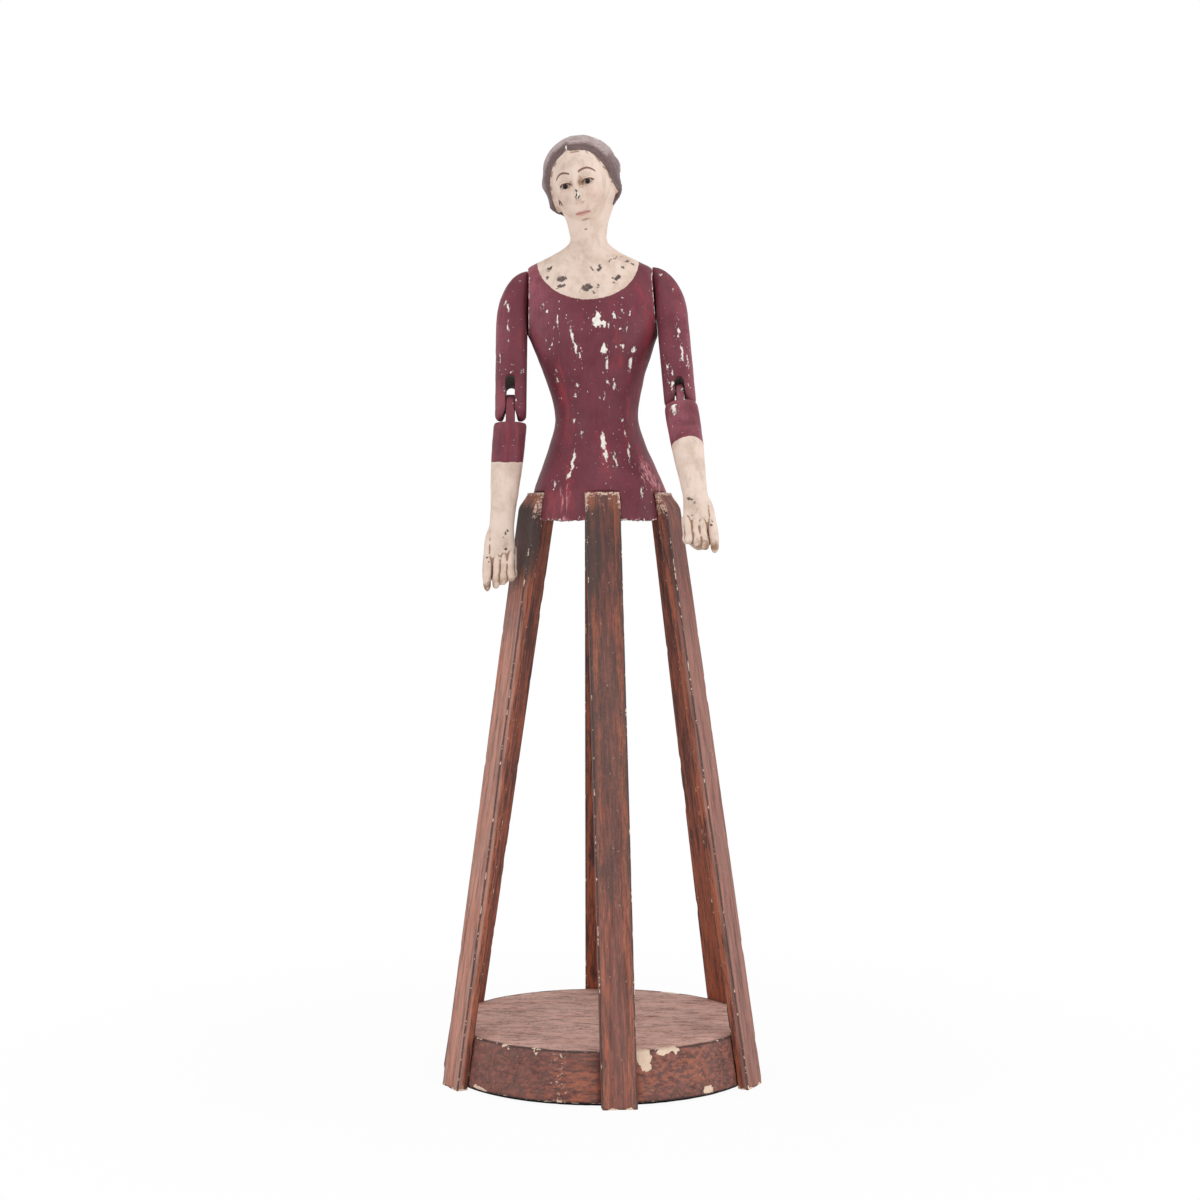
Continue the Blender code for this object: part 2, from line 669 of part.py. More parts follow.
def tongue_solid():
    """The flat tongue that the elbow pin goes through, round above the pin."""
    bm = bmesh.new()
    foot = -FOREARM_TOP - CUT_MARGIN
    outline = [(-TONGUE_RADIUS, foot)]
    for step in range(TONGUE_STEPS + 1):
        turn = math.pi * step / TONGUE_STEPS
        outline.append((-TONGUE_RADIUS * math.cos(turn), TONGUE_RADIUS * math.sin(turn)))
    outline.append((TONGUE_RADIUS, foot))
    face = bm.faces.new([bm.verts.new((-TONGUE_WIDTH / 2, y, z)) for y, z in outline])
    made = bmesh.ops.extrude_face_region(bm, geom=[face])["geom"]
    far = [item for item in made if isinstance(item, bmesh.types.BMVert)]
    bmesh.ops.translate(bm, vec=(TONGUE_WIDTH, 0, 0), verts=far)
    return bm


def digit_solid(start, bones, radii):
    """A finger or thumb along bones, which are steps from joint to joint, with a round tip."""
    points = [Vector(start)]
    for bone in bones:
        points.append(points[-1] + bone)
    tip = bones[-1].normalized() * radii[-1]
    end = (points[-1] + tip * FINGER_TIP_REACH, radii[-1] * FINGER_TIP_SHARE)
    stations = [*zip(points, radii), end]
    rings = []
    for index, (point, radius) in enumerate(stations):
        heading = bones[min(index, len(bones) - 1)].normalized()
        across = (Vector((1, 0, 0)) - heading * heading.x).normalized()
        turn = Matrix((across, heading.cross(across), heading)).transposed()
        rings.append([point + turn @ offset for offset in oval(0, 0, 0, radius, radius, FINGER_SIDES)])
    return loft(rings)


def hand_digits(side):
    """Four curled fingers, from the inner edge out, and the thumb on the outer side."""
    digits = {}
    middle = forearm_drift(KNUCKLES, side)
    curl = math.radians(FINGER_CURL)
    for name, finger in FINGERS.items():
        start = (middle + finger.across, finger.behind, FINGER_RADIUS - KNUCKLES)
        half = finger.length / 2
        bones = [Vector((0, 0, -half)), Vector((0, -math.sin(curl), -math.cos(curl))) * half]
        digits[name] = digit_solid(start, bones, (FINGER_RADIUS, FINGER_RADIUS, FINGER_TIP_RADIUS))
    lean = math.radians(THUMB_ANGLE)
    half = THUMB_LENGTH / 2
    x = forearm_drift(THUMB_START, side) + WRIST_HALF_WIDTH - THUMB_RADIUS
    bones = [Vector((math.sin(lean), 0, -math.cos(lean))) * half, Vector((0, 0, -half))]
    radii = (THUMB_RADIUS, THUMB_RADIUS, FINGER_TIP_RADIUS)
    digits["thumb"] = digit_solid((x, 0, -THUMB_START), bones, radii)
    return digits


def add_shoulder_peg(side, upper, torso):
    """The peg that the arm turns on: glued into the torso and loose in the arm."""
    frame = shoulder_frame(side)
    inner = Vector((-ARM_GAP - SHOULDER_PEG_IN_TORSO, 0, 0))
    outer = Vector((SHOULDER_PEG_IN_ARM, 0, 0))
    end_gap = Vector((GLUE_GAP, 0, 0))
    sides = 2 * PEG_SIDES
    peg = for_side(cylinder(inner, outer, SHOULDER_PEG_RADIUS, sides), side)
    add_object(f"shoulder_peg_{side}", peg, "bare_wood", frame)
    tight = cylinder(inner - end_gap, outer, SHOULDER_PEG_RADIUS + GLUE_GAP, sides)
    loose = cylinder(inner, outer + end_gap, SHOULDER_PEG_RADIUS + TURNING_GAP, sides)
    tight = add_helper(f"cut_peg_hole_{side}", for_side(tight, side), frame)
    loose = add_helper(f"cut_peg_bore_{side}", for_side(loose, side), frame)
    combine(torso, tight, "DIFFERENCE")
    combine(upper, loose, "DIFFERENCE")


def add_elbow_pin(side, upper, forearm):
    """The pin across the fork: tight in the fork and loose in the tongue."""
    half = Vector((UPPER_ARM_WIDTH / 2 - HIDDEN_END, 0, 0))
    margin = Vector((CUT_MARGIN, 0, 0))
    pin = cylinder(-half, half, ELBOW_PIN_RADIUS, PEG_SIDES)
    add_object(f"elbow_pin_{side}", pin, "bare_wood", fork_frame(side))
    for piece, gap in ((upper, GLUE_GAP), (forearm, TURNING_GAP)):
        bore = cylinder(-half - margin, half + margin, ELBOW_PIN_RADIUS + gap, PEG_SIDES)
        combine(piece, add_helper(f"cut_pin_{piece.name}", bore, fork_frame(side)), "DIFFERENCE")


def add_arm(side, torso):
    """Shoulder peg, upper arm, elbow pin and forearm with its hand."""
    solid = for_side(upper_arm_solid(), side)
    upper = add_object(f"upper_arm_{side}", solid, "burgundy_paint", upper_arm_frame(side))
    slot = add_helper(f"cut_fork_slot_{side}", fork_slot_solid(side), fork_frame(side))
    combine(upper, slot, "DIFFERENCE")
    frame = forearm_frame(side)
    solid = for_side(forearm_solid(side), side)
    forearm = add_object(f"forearm_{side}", solid, "flesh_paint", frame)
    forms = {"tongue": tongue_solid(), **hand_digits(side)}
    for name, form in forms.items():
        helper = add_helper(f"form_{name}_{side}", for_side(form, side), frame)
        combine(forearm, helper, "UNION")
    add_shoulder_peg(side, upper, torso)
    add_elbow_pin(side, upper, forearm)


def main():
    for obj in list(bpy.data.objects):
        bpy.data.objects.remove(obj)
    base = add_base()
    torso = add_torso()
    for name, bearings in SLAT_BEARINGS.items():
        add_slat(name, bearings, base, torso)
    head = add_head()
    add_neck_dowel(head, torso)
    for side in SIDES:
        add_arm(side, torso)
    bpy.context.view_layer.update()


main()
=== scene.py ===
"""Cage doll: an add-on that carves, paints and wears the doll's pieces round its fixed frame.

Shapes are worked in millimetres and scaled to metres when a piece is added. The figure looks along -Y
and its own left hand is at +X.
"""

import json
import math
from collections import namedtuple

import bmesh
import bpy
import numpy as np
from bpy.props import FloatProperty, FloatVectorProperty, PointerProperty
from mathutils import Matrix, Vector, noise


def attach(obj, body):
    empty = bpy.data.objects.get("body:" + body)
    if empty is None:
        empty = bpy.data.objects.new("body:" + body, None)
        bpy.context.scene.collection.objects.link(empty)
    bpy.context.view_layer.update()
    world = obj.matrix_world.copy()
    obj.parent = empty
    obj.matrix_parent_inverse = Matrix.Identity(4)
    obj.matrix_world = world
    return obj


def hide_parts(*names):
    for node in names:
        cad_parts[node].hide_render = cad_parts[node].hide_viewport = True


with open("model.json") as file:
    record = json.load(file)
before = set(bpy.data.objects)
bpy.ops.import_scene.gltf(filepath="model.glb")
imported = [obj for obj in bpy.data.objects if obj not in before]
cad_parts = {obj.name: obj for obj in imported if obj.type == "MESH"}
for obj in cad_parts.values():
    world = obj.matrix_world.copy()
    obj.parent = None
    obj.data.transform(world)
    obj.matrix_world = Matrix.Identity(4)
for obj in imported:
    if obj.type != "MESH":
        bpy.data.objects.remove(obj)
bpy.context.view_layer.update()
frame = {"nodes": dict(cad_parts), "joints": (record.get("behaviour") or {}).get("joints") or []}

bl_info = {
    "name": "Cage Doll",
    "version": (1, 0, 0),
    "blender": (4, 5, 0),
    "location": "View3D > Sidebar > Cage Doll",
    "description": "Builds the carved, painted and worn pieces of a cage doll on its frame",
    "category": "Object",
}

# Units, the slats' clearance in their housings and how fine the meshes are
MM = 0.001
TO_METRES = Matrix.Scale(MM, 4)
GAP = 0.3
MERGE_DISTANCE = 0.0005
SKIN_VOXEL, HAND_VOXEL = 0.45, 0.4

# Base and slats; bearings in degrees, from the front towards the figure's left, at the foot and the top
BASE_BOTTOM, BASE_TOP = 2.3, 33.3
BASE_RADIUS = 103.5
FELT_RADIUS = 100.2
FELT_THICKNESS = 2.0
SLAT_WIDTH, SLAT_THICKNESS, SLAT_TOP = 22.0, 7.6, 378.0
SLAT_BEARINGS = {
    "front": (6, 1),
    "front_left": (63, 66),
    "back_left": (126, 118),
    "back": (180, 180),
    "back_right": (241, 235),
    "front_right": (299, 289),
}
FOOT_SEAT, HEM_SEAT, HEM_HEIGHT = 102.2, 44.6, 360.5
SLAT_SLOPE = (FOOT_SEAT - HEM_SEAT) / (HEM_HEIGHT - BASE_BOTTOM)
SLAT_BEVEL_HEIGHT, SLAT_BEVEL_DEPTH, SLAT_ROUNDING = 11.0, 5.0, 0.7

# Torso levels: height above the lower edge, half width, half depth and how far back the middle is
TORSO_LEAN = math.tan(math.radians(2.6))
TORSO_LEVELS = [
    (0.0, 46.5, 46.5, 0.0),
    (17.5, 43.4, 43.0, 0.0),
    (34.0, 37.2, 34.0, 0.0),
    (48.0, 31.6, 27.0, 0.0),
    (66.0, 27.1, 22.5, 0.0),
    (89.0, 31.3, 24.5, -0.5),
    (113.0, 39.5, 27.5, -1.5),
    (132.0, 46.2, 26.5, -0.5),
    (152.0, 46.2, 22.5, 1.5),
    (164.0, 40.0, 18.0, 3.0),
    (169.0, 30.5, 15.5, 3.6),
    (174.5, 20.0, 13.2, 4.0),
    (179.5, 13.4, 12.2, 4.2),
    (183.8, 11.7, 11.6, 4.2),
    (185.5, 11.5, 11.5, 4.2),
]
SHOULDER_FLAT_FROM = 80.0
ARM_GAP, ARM_GAP_EDGE = 0.12, 1.0
NECKLINE_MIDDLE, NECKLINE_HALF_WIDTH, NECKLINE_TOP = -8.6, 33.0, 528.5
NECKLINE_DROP, NECKLINE_BACK_DROP = 27.0, 12.0

# Head, in its own frame: the face along -Y, the eyes at the middle height
HEAD_PLACE = (-12.82, 0.7, 579.5)
HEAD_TURN, HEAD_TILT, HEAD_NOD = -12, -12, 6
NECK_FOOT = (-8.42, 4.2, 546.3)
NECK_RADIUS, NECK_OVERLAP = 11.4, 2.4
NECK_FLARES = [(0.0, 1.02), (0.5, 1.2), (1.0, 1.55)]
SKULL = (21.0, 23.5, 29.5)
HAIR = (25.4, 27.0, 27.2)
HAIR_BACK, HAIR_RISE = 4.0, 2.3
JAW_NARROWING, JAW_FORWARD = 0.2, 0.1
HAIRLINE_MIDDLE, HAIRLINE_HALF_WIDTH = 1.4, 20.3
HAIRLINE_TOP, HAIRLINE_HALF_HEIGHT, HAIRLINE_POWER = 20.2, 32.0, 2.4
BUN_RADIUS, BUN_BACK, BUN_DROP, BUN_FLATNESS = 12.0, 27.0, 9.0, 0.8
BROW_HEIGHT, BROW_MIDDLE, BROW_HALF_WIDTH = 8.6, 0.5, 4.9
EYES_MIDDLE, EYE_Z = 0.7, -0.9
EYE_RADIUS, EYE_X, EYE_Y = 3.7, 7.5, -18.5
LID_RADIUS = 4.3
EYE_HALF_WIDTH, EYE_HALF_HEIGHT = 3.3, 1.8
IRIS_RADIUS, PUPIL_RADIUS, GAZE_UP = 1.75, 0.9, 0.1
CORNEA_RADIUS, CORNEA_BULGE = 1.7, 0.35
MOUTH_Z, MOUTH_HALF_WIDTH = -19.4, 5.3

# Strokes that puff out the sides of the hair: centre, radii and move
HAIR_PUFFS = [
    ((22, 2, 8), (6, 9, 5), (1.0, 0, 0.3)),
    ((23, 2, -8), (5, 9, 6), (0.8, 0, -0.6)),
    ((-22, 2, -10), (6, 9, 6), (-1.2, 0, -0.6)),
]

# Arms, in their own frames: X outward along the pegs, -Y forward, -Z down
SIDES = {"left": 1, "right": -1}
SHOULDER_REST = {"left": 22, "right": 8}
ELBOW_REST = {"left": 8, "right": 0}
UPPER_ARM_LENGTH, UPPER_ARM_TOP, SHOULDER_CAP = 75.5, 13.5, 36.0
UPPER_ARM_WIDTH, UPPER_ARM_HALF_DEPTH, ELBOW_HALF_DEPTH = 20.4, 11.6, 9.6
INNER_FLAT = 1.2
FORK_BELOW_PIN, SLOT_HALF_WIDTH = 9.4, 3.0
SLOT_TOP = {"left": (7.2, 7.2), "right": (20.0, 13.8)}
PEG_BORE, PEG_BORE_DEPTH, PIN_BORE = 4.5, 12.4, 2.0
TONGUE_HALF_WIDTH = 2.4
TONGUE_RADIUS = {"left": 5.8, "right": 8.2}
MOUTH_FLARE = {"left": 0.8, "right": 1.2}
TONGUE_FLARE = {"left": 0.0, "right": 0.35}
FOREARM_SPLAY = {"left": 2.8, "right": 4}
SLEEVE_END = {"left": 41.0, "right": 36.5}
SLEEVE_ARCH = {"left": 2.0, "right": -1.2}
# How much each forearm's sleeve is lightened by dust and painted sheen
CUFF_DUST_AND_SHEEN = {"left": 0.9, "right": 0.2}
KNUCKLES = 97.0

# Forearm levels: distance below the elbow's pin, half width and half depth
FOREARM_LEVELS = [
    (11.0, 10.8, 10.2),
    (39.0, 10.2, 9.6),
    (76.0, 7.9, 6.6),
    (97.0, 10.0, 4.3),
    (103.0, 8.4, 2.0),
]
FOREARM_TOP = FOREARM_LEVELS[0][0]

# Flats shaved on the arms: direction across the arm in degrees and distance from its middle
UPPER_ARM_FACETS = [(-38, 11.6), (-66, 11.0), (30, 11.8), (62, 11.0), (-118, 12.2)]
FOREARM_FACETS = [(-45, 10.6), (-135, 10.6), (45, 10.6), (135, 10.6)]

# Fingers from the inner edge out: places across and behind the hand's middle, length below the knuckles,
# how far the tip curls forward and how far it leans outward
Finger = namedtuple("Finger", "across behind length curl lean")
FINGERS = [
    Finger(-8.9, 1.2, 14.5, 2.0, -0.6),
    Finger(-7.4, -1.6, 17.0, 3.4, -1.2),
    Finger(-3.0, -1.8, 19.5, 3.6, 0.0),
    Finger(1.4, -1.8, 22.0, 2.8, 0.4),
]
FINGER_RADII = (2.2, 2.45, 2.35, 2.65, 1.8)
WEB_RADII, WEB_PLACE = (9.0, 1.5, 13.0), (-1.0, 0.6, -103.0)
THUMB_PATH = [(3.0, 0.2, -76), (5.6, -0.4, -86), (7.3, -1.0, -97), (7.8, -1.6, -109), (7.2, -2.4, -120.5)]
THUMB_RADII = (3.0, 3.7, 3.0, 2.9, 2.1)

Layer = namedtuple("Layer", "colour rough height")
Tone = namedtuple("Tone", "soot bloom reach")
Spot = namedtuple("Spot", "x z half_width half_height lean")
# Mark of a place that is inside no spot
OUTSIDE = -9.0

# Flakes in the bodice's paint, seen from the front: place, half sizes in millimetres and lean in degrees
BODICE_FLAKES = [
    Spot(-2.1, 486.6, 3.6, 3.0, 0), Spot(-2.0, 490.2, 1.7, 3.2, 0), Spot(-5.0, 487.6, 1.4, 2.1, 0),
    Spot(1.4, 485.8, 1.5, 2.2, 0), Spot(-3.2, 483.6, 0.9, 1.5, 0), Spot(4.5, 485.1, 1.0, 2.3, 0),
    Spot(8.2, 491.6, 1.0, 3.1, 8), Spot(13.8, 494.1, 0.7, 1.9, 0), Spot(11.8, 482.9, 1.0, 1.7, -20),
    Spot(18.7, 492.8, 0.7, 1.9, -8), Spot(16.0, 482.4, 0.6, 1.5, 0), Spot(1.6, 470.0, 2.0, 4.2, -8),
    Spot(3.7, 460.5, 0.9, 6.6, 4), Spot(4.3, 448.7, 0.9, 1.9, 20), Spot(8.4, 446.4, 0.8, 1.7, -15),
    Spot(21.2, 469.6, 1.4, 2.6, -30), Spot(18.9, 460.8, 0.8, 7.2, -12), Spot(13.1, 471.6, 1.5, 0.9, -20),
    Spot(-18.4, 477.0, 1.0, 11.4, 13), Spot(-16.6, 471.6, 1.3, 4.6, 8), Spot(-14.1, 464.9, 0.8, 2.3, -8),
    Spot(-28.0, 487.8, 0.9, 4.4, 4), Spot(-37.7, 498.2, 0.7, 2.1, 14), Spot(-34.6, 493.7, 1.1, 1.1, 0),
    Spot(-41.2, 516.8, 0.7, 0.6, 0), Spot(-31.7, 473.4, 0.7, 1.4, 15), Spot(-35.5, 475.2, 0.6, 0.9, 0),
    Spot(-28.9, 456.3, 0.6, 2.3, 0), Spot(-28.5, 450.5, 0.7, 2.3, 8), Spot(-15.2, 446.0, 0.9, 1.1, 0),
    Spot(-16.6, 440.1, 1.1, 2.0, -20), Spot(1.9, 440.1, 0.7, 2.6, 0), Spot(1.1, 411.0, 1.9, 6.0, 8),
    Spot(2.9, 401.5, 1.2, 6.0, 8), Spot(-18.4, 398.0, 1.5, 6.0, -12), Spot(-20.3, 390.0, 0.9, 5.5, -14),
    Spot(8.8, 399.5, 1.0, 6.8, 10), Spot(17.8, 404.0, 0.9, 6.5, 0), Spot(-17.5, 424.5, 0.9, 2.4, 0),
    Spot(-13.0, 416.1, 1.1, 3.0, 10), Spot(14.0, 424.5, 0.8, 1.5, 0), Spot(15.2, 416.0, 0.8, 2.0, 0),
    Spot(26.0, 378.0, 0.9, 4.0, 0), Spot(-30.0, 384.0, 0.8, 3.0, 0), Spot(8.2, 445.7, 0.8, 1.6, 0),
]
# The back has every other flake of the bodice's front, turned over about this place
BACK_FLAKES_MIDDLE = (-4.5, 440.0)
# Flakes in the chest's flesh paint
CHEST_FLAKES = [
    Spot(-33.5, 522.7, 0.9, 2.2, -45), Spot(-34.6, 516.9, 0.9, 1.7, 20), Spot(-25.8, 515.6, 2.6, 1.5, -10),
    Spot(-25.8, 510.5, 2.3, 1.3, 25), Spot(-0.8, 522.0, 1.5, 2.7, -25), Spot(-5.3, 521.4, 0.6, 1.3, 25),
    Spot(10.1, 516.2, 2.4, 1.6, 0), Spot(-9.6, 509.2, 3.6, 1.6, 0), Spot(-8.4, 511.2, 1.3, 2.0, 0),
    Spot(-5.3, 506.0, 1.1, 0.7, -20), Spot(16.5, 527.8, 1.6, 0.7, 15), Spot(20.4, 525.9, 1.2, 0.8, 0),
    Spot(14.0, 522.7, 0.6, 0.6, 0), Spot(-2.0, 510.5, 0.7, 0.5, 30), Spot(8.5, 512.6, 0.5, 0.5, 0),
    Spot(7.1, 528.7, 2.9, 0.3, 27), Spot(-13.5, 505.6, 0.5, 0.4, 0), Spot(-4.7, 502.9, 0.4, 0.4, 0),
]
# Flakes in the sleeves' paint, with the arms at rest
ARM_FLAKES = {
    "right": [
        Spot(-59.8, 497.7, 1.0, 2.6, 10), Spot(-62.6, 500.0, 0.7, 1.7, -25), Spot(-60.1, 485.1, 0.6, 3.2, 0),
        Spot(-65.2, 465.3, 0.5, 3.4, 0), Spot(-50.8, 456.8, 0.7, 1.3, 0), Spot(-60.2, 476.0, 0.5, 1.0, 0),
        Spot(-52.8, 513.4, 0.6, 0.6, 0), Spot(-62.0, 443.0, 0.5, 1.0, 0), Spot(-54.5, 437.5, 0.7, 1.1, 20),
        Spot(-58.0, 456.0, 0.5, 0.6, 0), Spot(-57.0, 460.0, 0.4, 0.7, 0),
    ],
    "left": [
        Spot(49.3, 481.5, 0.6, 4.4, 6), Spot(51.6, 467.1, 0.8, 5.6, 5), Spot(55.4, 462.6, 0.5, 5.0, 5),
        Spot(45.2, 455.6, 0.5, 1.7, 10), Spot(41.6, 459.0, 0.4, 3.6, 18), Spot(46.2, 508.4, 0.5, 0.7, 0),
        Spot(38.4, 519.6, 1.2, 0.6, 20), Spot(45.2, 446.0, 0.8, 3.0, 0), Spot(43.0, 449.0, 0.5, 3.0, 15),
        Spot(51.6, 444.0, 0.6, 2.4, -20), Spot(46.4, 430.5, 1.2, 3.4, 0), Spot(52.8, 437.5, 0.8, 1.2, 30),
    ],
}
# Chips down to the wood and pale flakes on the face and hair, in the head's own frame
FACE_CHIPS = [
    Spot(0.3, -5.2, 0.55, 1.2, 15), Spot(0.0, -8.0, 0.55, 1.6, 0), Spot(1.0, -9.6, 0.5, 1.3, -35),
    Spot(-0.9, -9.4, 0.45, 1.2, 35), Spot(-14.4, -9.8, 0.6, 2.0, -12), Spot(-13.0, -10.2, 0.6, 1.9, 14),
    Spot(-1.6, -30.0, 0.8, 0.4, 0), Spot(18.5, 6.0, 0.5, 0.4, 0),
]
FACE_FLAKES = [
    Spot(0.3, -7.4, 1.1, 3.2, 0), Spot(24.4, 18.2, 2.4, 0.6, -20), Spot(-2.0, 23.4, 0.5, 1.4, 10),
    Spot(17.5, 24.4, 2.6, 0.25, -18),
]
# Places where the bodice is rubbed to a brighter crimson, as the flakes are given
BODICE_RUBS = [
    Spot(26.0, 494.0, 4.0, 9.0, 0), Spot(31.0, 483.0, 3.0, 14.0, -12), Spot(26.0, 452.0, 2.0, 16.0, -10),
    Spot(-21.0, 380.0, 2.6, 13.0, 0), Spot(-29.0, 372.0, 4.0, 6.0, 0), Spot(-45.0, 517.0, 3.0, 6.0, 0),
    Spot(31.0, 392.0, 2.5, 11.0, 30), Spot(38.0, 384.0, 2.5, 10.0, 34), Spot(2.0, 405.0, 3.0, 12.0, 5),
    Spot(-24.0, 440.0, 2.0, 14.0, 8), Spot(11.0, 470.0, 2.0, 9.0, 0), Spot(18.0, 430.0, 1.5, 10.0, 0),
]
# Places where the bodice is scuffed to a chalky pink
BODICE_SCUFFS = [
    Spot(29.5, 391.0, 2.4, 8.0, 22), Spot(34.0, 384.5, 2.2, 7.0, 28), Spot(26.5, 389.5, 0.8, 4.5, 12),
    Spot(-21.8, 374.0, 0.5, 6.0, 0), Spot(-24.5, 371.0, 0.4, 4.0, 6),
]
# Grime and scratches on the back of a hand and the forearm, across and along the arm from the elbow
HAND_SCRATCHES = [
    Spot(-4.4, -81.6, 0.9, 0.9, 0), Spot(-3.2, -83.0, 0.7, 0.8, 40), Spot(-1.6, -85.5, 0.6, 0.6, 0),
    Spot(-4.4, -93.3, 0.6, 0.5, 0), Spot(7.4, -98.8, 0.6, 0.5, 0), Spot(6.2, -101.3, 0.5, 0.5, 0),
]
# How sooty the top of each slat is, how much pale dust and painted sheen lighten its outer face and how far
# down the soot reaches
SLAT_TONES = {
    "front": Tone(1.0, 0.1, 115),
    "front_left": Tone(0.3, 0.24, 75),
    "back_left": Tone(0.5, 0.1, 75),
    "back": Tone(0.6, 0.1, 75),
    "back_right": Tone(0.5, 0.1, 75),
    "front_right": Tone(1.1, 0.42, 75),
}
# Chips out of the base's rim: bearing in degrees and height in millimetres in place of x and z
RIM_CHIPS = [
    Spot(15.5, 27.0, 4.6, 7.0, 0), Spot(13.0, 31.5, 5.0, 2.6, 0), Spot(24.5, 32.2, 8.6, 2.4, 0),
    Spot(-37.5, 32.6, 3.2, 1.5, 0), Spot(-24.7, 32.6, 2.2, 1.2, 0), Spot(-47.5, 3.6, 7.5, 2.0, 0),
    Spot(40.5, 4.0, 5.0, 2.4, 0), Spot(-15.0, 3.0, 2.0, 1.0, 0), Spot(95.0, 32.0, 6.0, 2.0, 0),
    Spot(150.0, 31.8, 8.0, 3.0, 0), Spot(205.0, 3.6, 9.0, 2.0, 0), Spot(262.0, 32.0, 5.0, 2.2, 0),
    Spot(120.0, 3.8, 5.0, 2.0, 0), Spot(222.0, 32.0, 4.0, 2.0, 0),
]

# Stage, in metres and degrees; a lamp has a place, a size and a power
WHITE = (1, 1, 1, 1)
FLOOR_HALF_WIDTH, SURROUND_LIGHT = 6, 0.42
LAMP_AIM = (0, 0, 0.3)
LAMPS = {
    "key": ((-1.0, -1.7, 1.0), 0.3, 6),
    "fill": ((1.3, -1.5, 0.5), 1.2, 9),
    "left": ((-1.9, -0.3, 0.4), 1.6, 11),
    "right": ((1.9, -0.3, 0.4), 1.6, 13),
    "top": ((0.1, -0.35, 2.0), 1.2, 8),
}
CAMERA_PLACE, CAMERA_DIP = (-0.0008, -1.5, 0.3535), 1.73
CAMERA_LENS, CAMERA_SENSOR = 68.9, 36


def length_property(name, description, default):
    return FloatProperty(name=name, description=description, default=default, unit="LENGTH")


class DollSizes(bpy.types.PropertyGroup):
    """Sizes of the tool marks and the wear."""

    carving: length_property("Carving", "How far the knife marks dip", 0.00028)
    flake_depth: length_property("Flake depth", "How thick the paint is where it has flaked", 0.0003)
    strand_depth: length_property("Hair strands", "How deep the carved strands of hair are", 0.00012)


def colour_property(name, description, default):
    return FloatVectorProperty(
        name=name, description=description, default=(*default, 1), size=4, min=0, max=1, subtype="COLOR"
    )


class DollColours(bpy.types.PropertyGroup):
    """Colours of the paints, stains and grounds."""

    wine: colour_property("Wine", "Bodice and sleeves", (0.142, 0.024, 0.039))
    crimson: colour_property("Crimson", "Brighter ground where the bodice is rubbed", (0.31, 0.034, 0.05))
    flesh: colour_property("Flesh", "Face, chest and hands", (0.76, 0.61, 0.52))
    lip: colour_property("Lips", "Mouth", (0.68, 0.34, 0.31))
    hair: colour_property("Hair", "Carved hair", (0.15, 0.095, 0.092))
    gesso: colour_property("Gesso", "White ground under the paint", (0.97, 0.91, 0.84))
    stain: colour_property("Stain", "Slats and base", (0.165, 0.045, 0.032))
    rubbed: colour_property("Rubbed stain", "Orange grain where the stain is thin", (0.38, 0.1, 0.042))
    soot: colour_property("Soot", "Near-black patches on the slats", (0.036, 0.024, 0.022))
    wood: colour_property("Wood", "Bare pegs and pins", (0.42, 0.27, 0.15))
    # The grime colour also paints shade: under the lower lip, in the nostrils, down one side of the nose, in
    # the lids' creases and between the fingers
    grime_and_shade: colour_property("Grime", "Brown dirt in the hollows of the flesh paint", (0.27, 0.135, 0.065))
    bare: colour_property("Bare patches", "Wood where the flesh paint has flaked", (0.135, 0.1, 0.09))
    brow: colour_property("Brows", "Fine lines of the eyes and brows", (0.16, 0.055, 0.045))
    chip: colour_property("Chips", "Ground where the stain has chipped", (0.82, 0.62, 0.47))
    # The bloom colour is pale dust, and also painted sheen on the slats' outer faces and the base's top
    bloom: colour_property("Bloom", "Pale dust on the slats and the base", (0.5, 0.29, 0.235))
    felt: colour_property("Felt", "Pad under the base", (0.012, 0.011, 0.014))
    iris: colour_property("Iris", "Glass eyes", (0.035, 0.018, 0.012))


# Mesh helpers


def points_of(bm):
    return np.array([vert.co for vert in bm.verts])


def normals_of(bm):
    bm.normal_update()
    return np.array([vert.normal for vert in bm.verts])


def move_to(bm, points):
    for vert, point in zip(bm.verts, points):
        vert.co = point


def between(values, low, high):
    """0 below low, 1 above high and smooth between."""
    t = np.clip((values - low) / (high - low), 0, 1)
    return t * t * (3 - 2 * t)


def peak(values, width):
    """1 where values are 0, falling to about a third at a width away."""
    return np.exp(-((values / width) ** 2))


def lumps(points, size, seed):
    """Smooth noise from about -1 to 1 at points, with marks of a size."""
    fading, spacing, octaves = 1.0, 2.0, 3
    shift = Vector((seed, 1.7 * seed, -0.6 * seed))
    places = [Vector(point) / size + shift for point in points]
    return np.array([noise.fractal(place, fading, spacing, octaves) for place in places])


def swell(bm, amounts):
    """Moves every vertex out along its normal."""
    move_to(bm, points_of(bm) + normals_of(bm) * np.asarray(amounts)[:, None])


def soften(bm, verts, factor):
    bmesh.ops.smooth_vert(bm, verts=verts, factor=factor, use_axis_x=True, use_axis_y=True, use_axis_z=True)


def smooth_levels(levels, heights):
    """Sizes at heights, on smooth curves through levels whose first value is their height."""
    table = np.array(levels, float)
    at = table[:, 0]
    slopes = np.gradient(table[:, 1:], at, axis=0)
    for i in range(1, len(at) - 1):
        slopes[i] = (table[i + 1, 1:] - table[i - 1, 1:]) / (at[i + 1] - at[i - 1])
    heights = np.clip(heights, at[0], at[-1])
    index = np.clip(np.searchsorted(at, heights, side="right") - 1, 0, len(at) - 2)
    span = (at[index + 1] - at[index])[:, None]
    t = (heights - at[index])[:, None] / span
    low, high = table[index, 1:], table[index + 1, 1:]
    return (
        (2 * t**3 - 3 * t**2 + 1) * low
        + (t**3 - 2 * t**2 + t) * slopes[index] * span
        + (3 * t**2 - 2 * t**3) * high
        + (t**3 - t**2) * slopes[index + 1] * span
    )


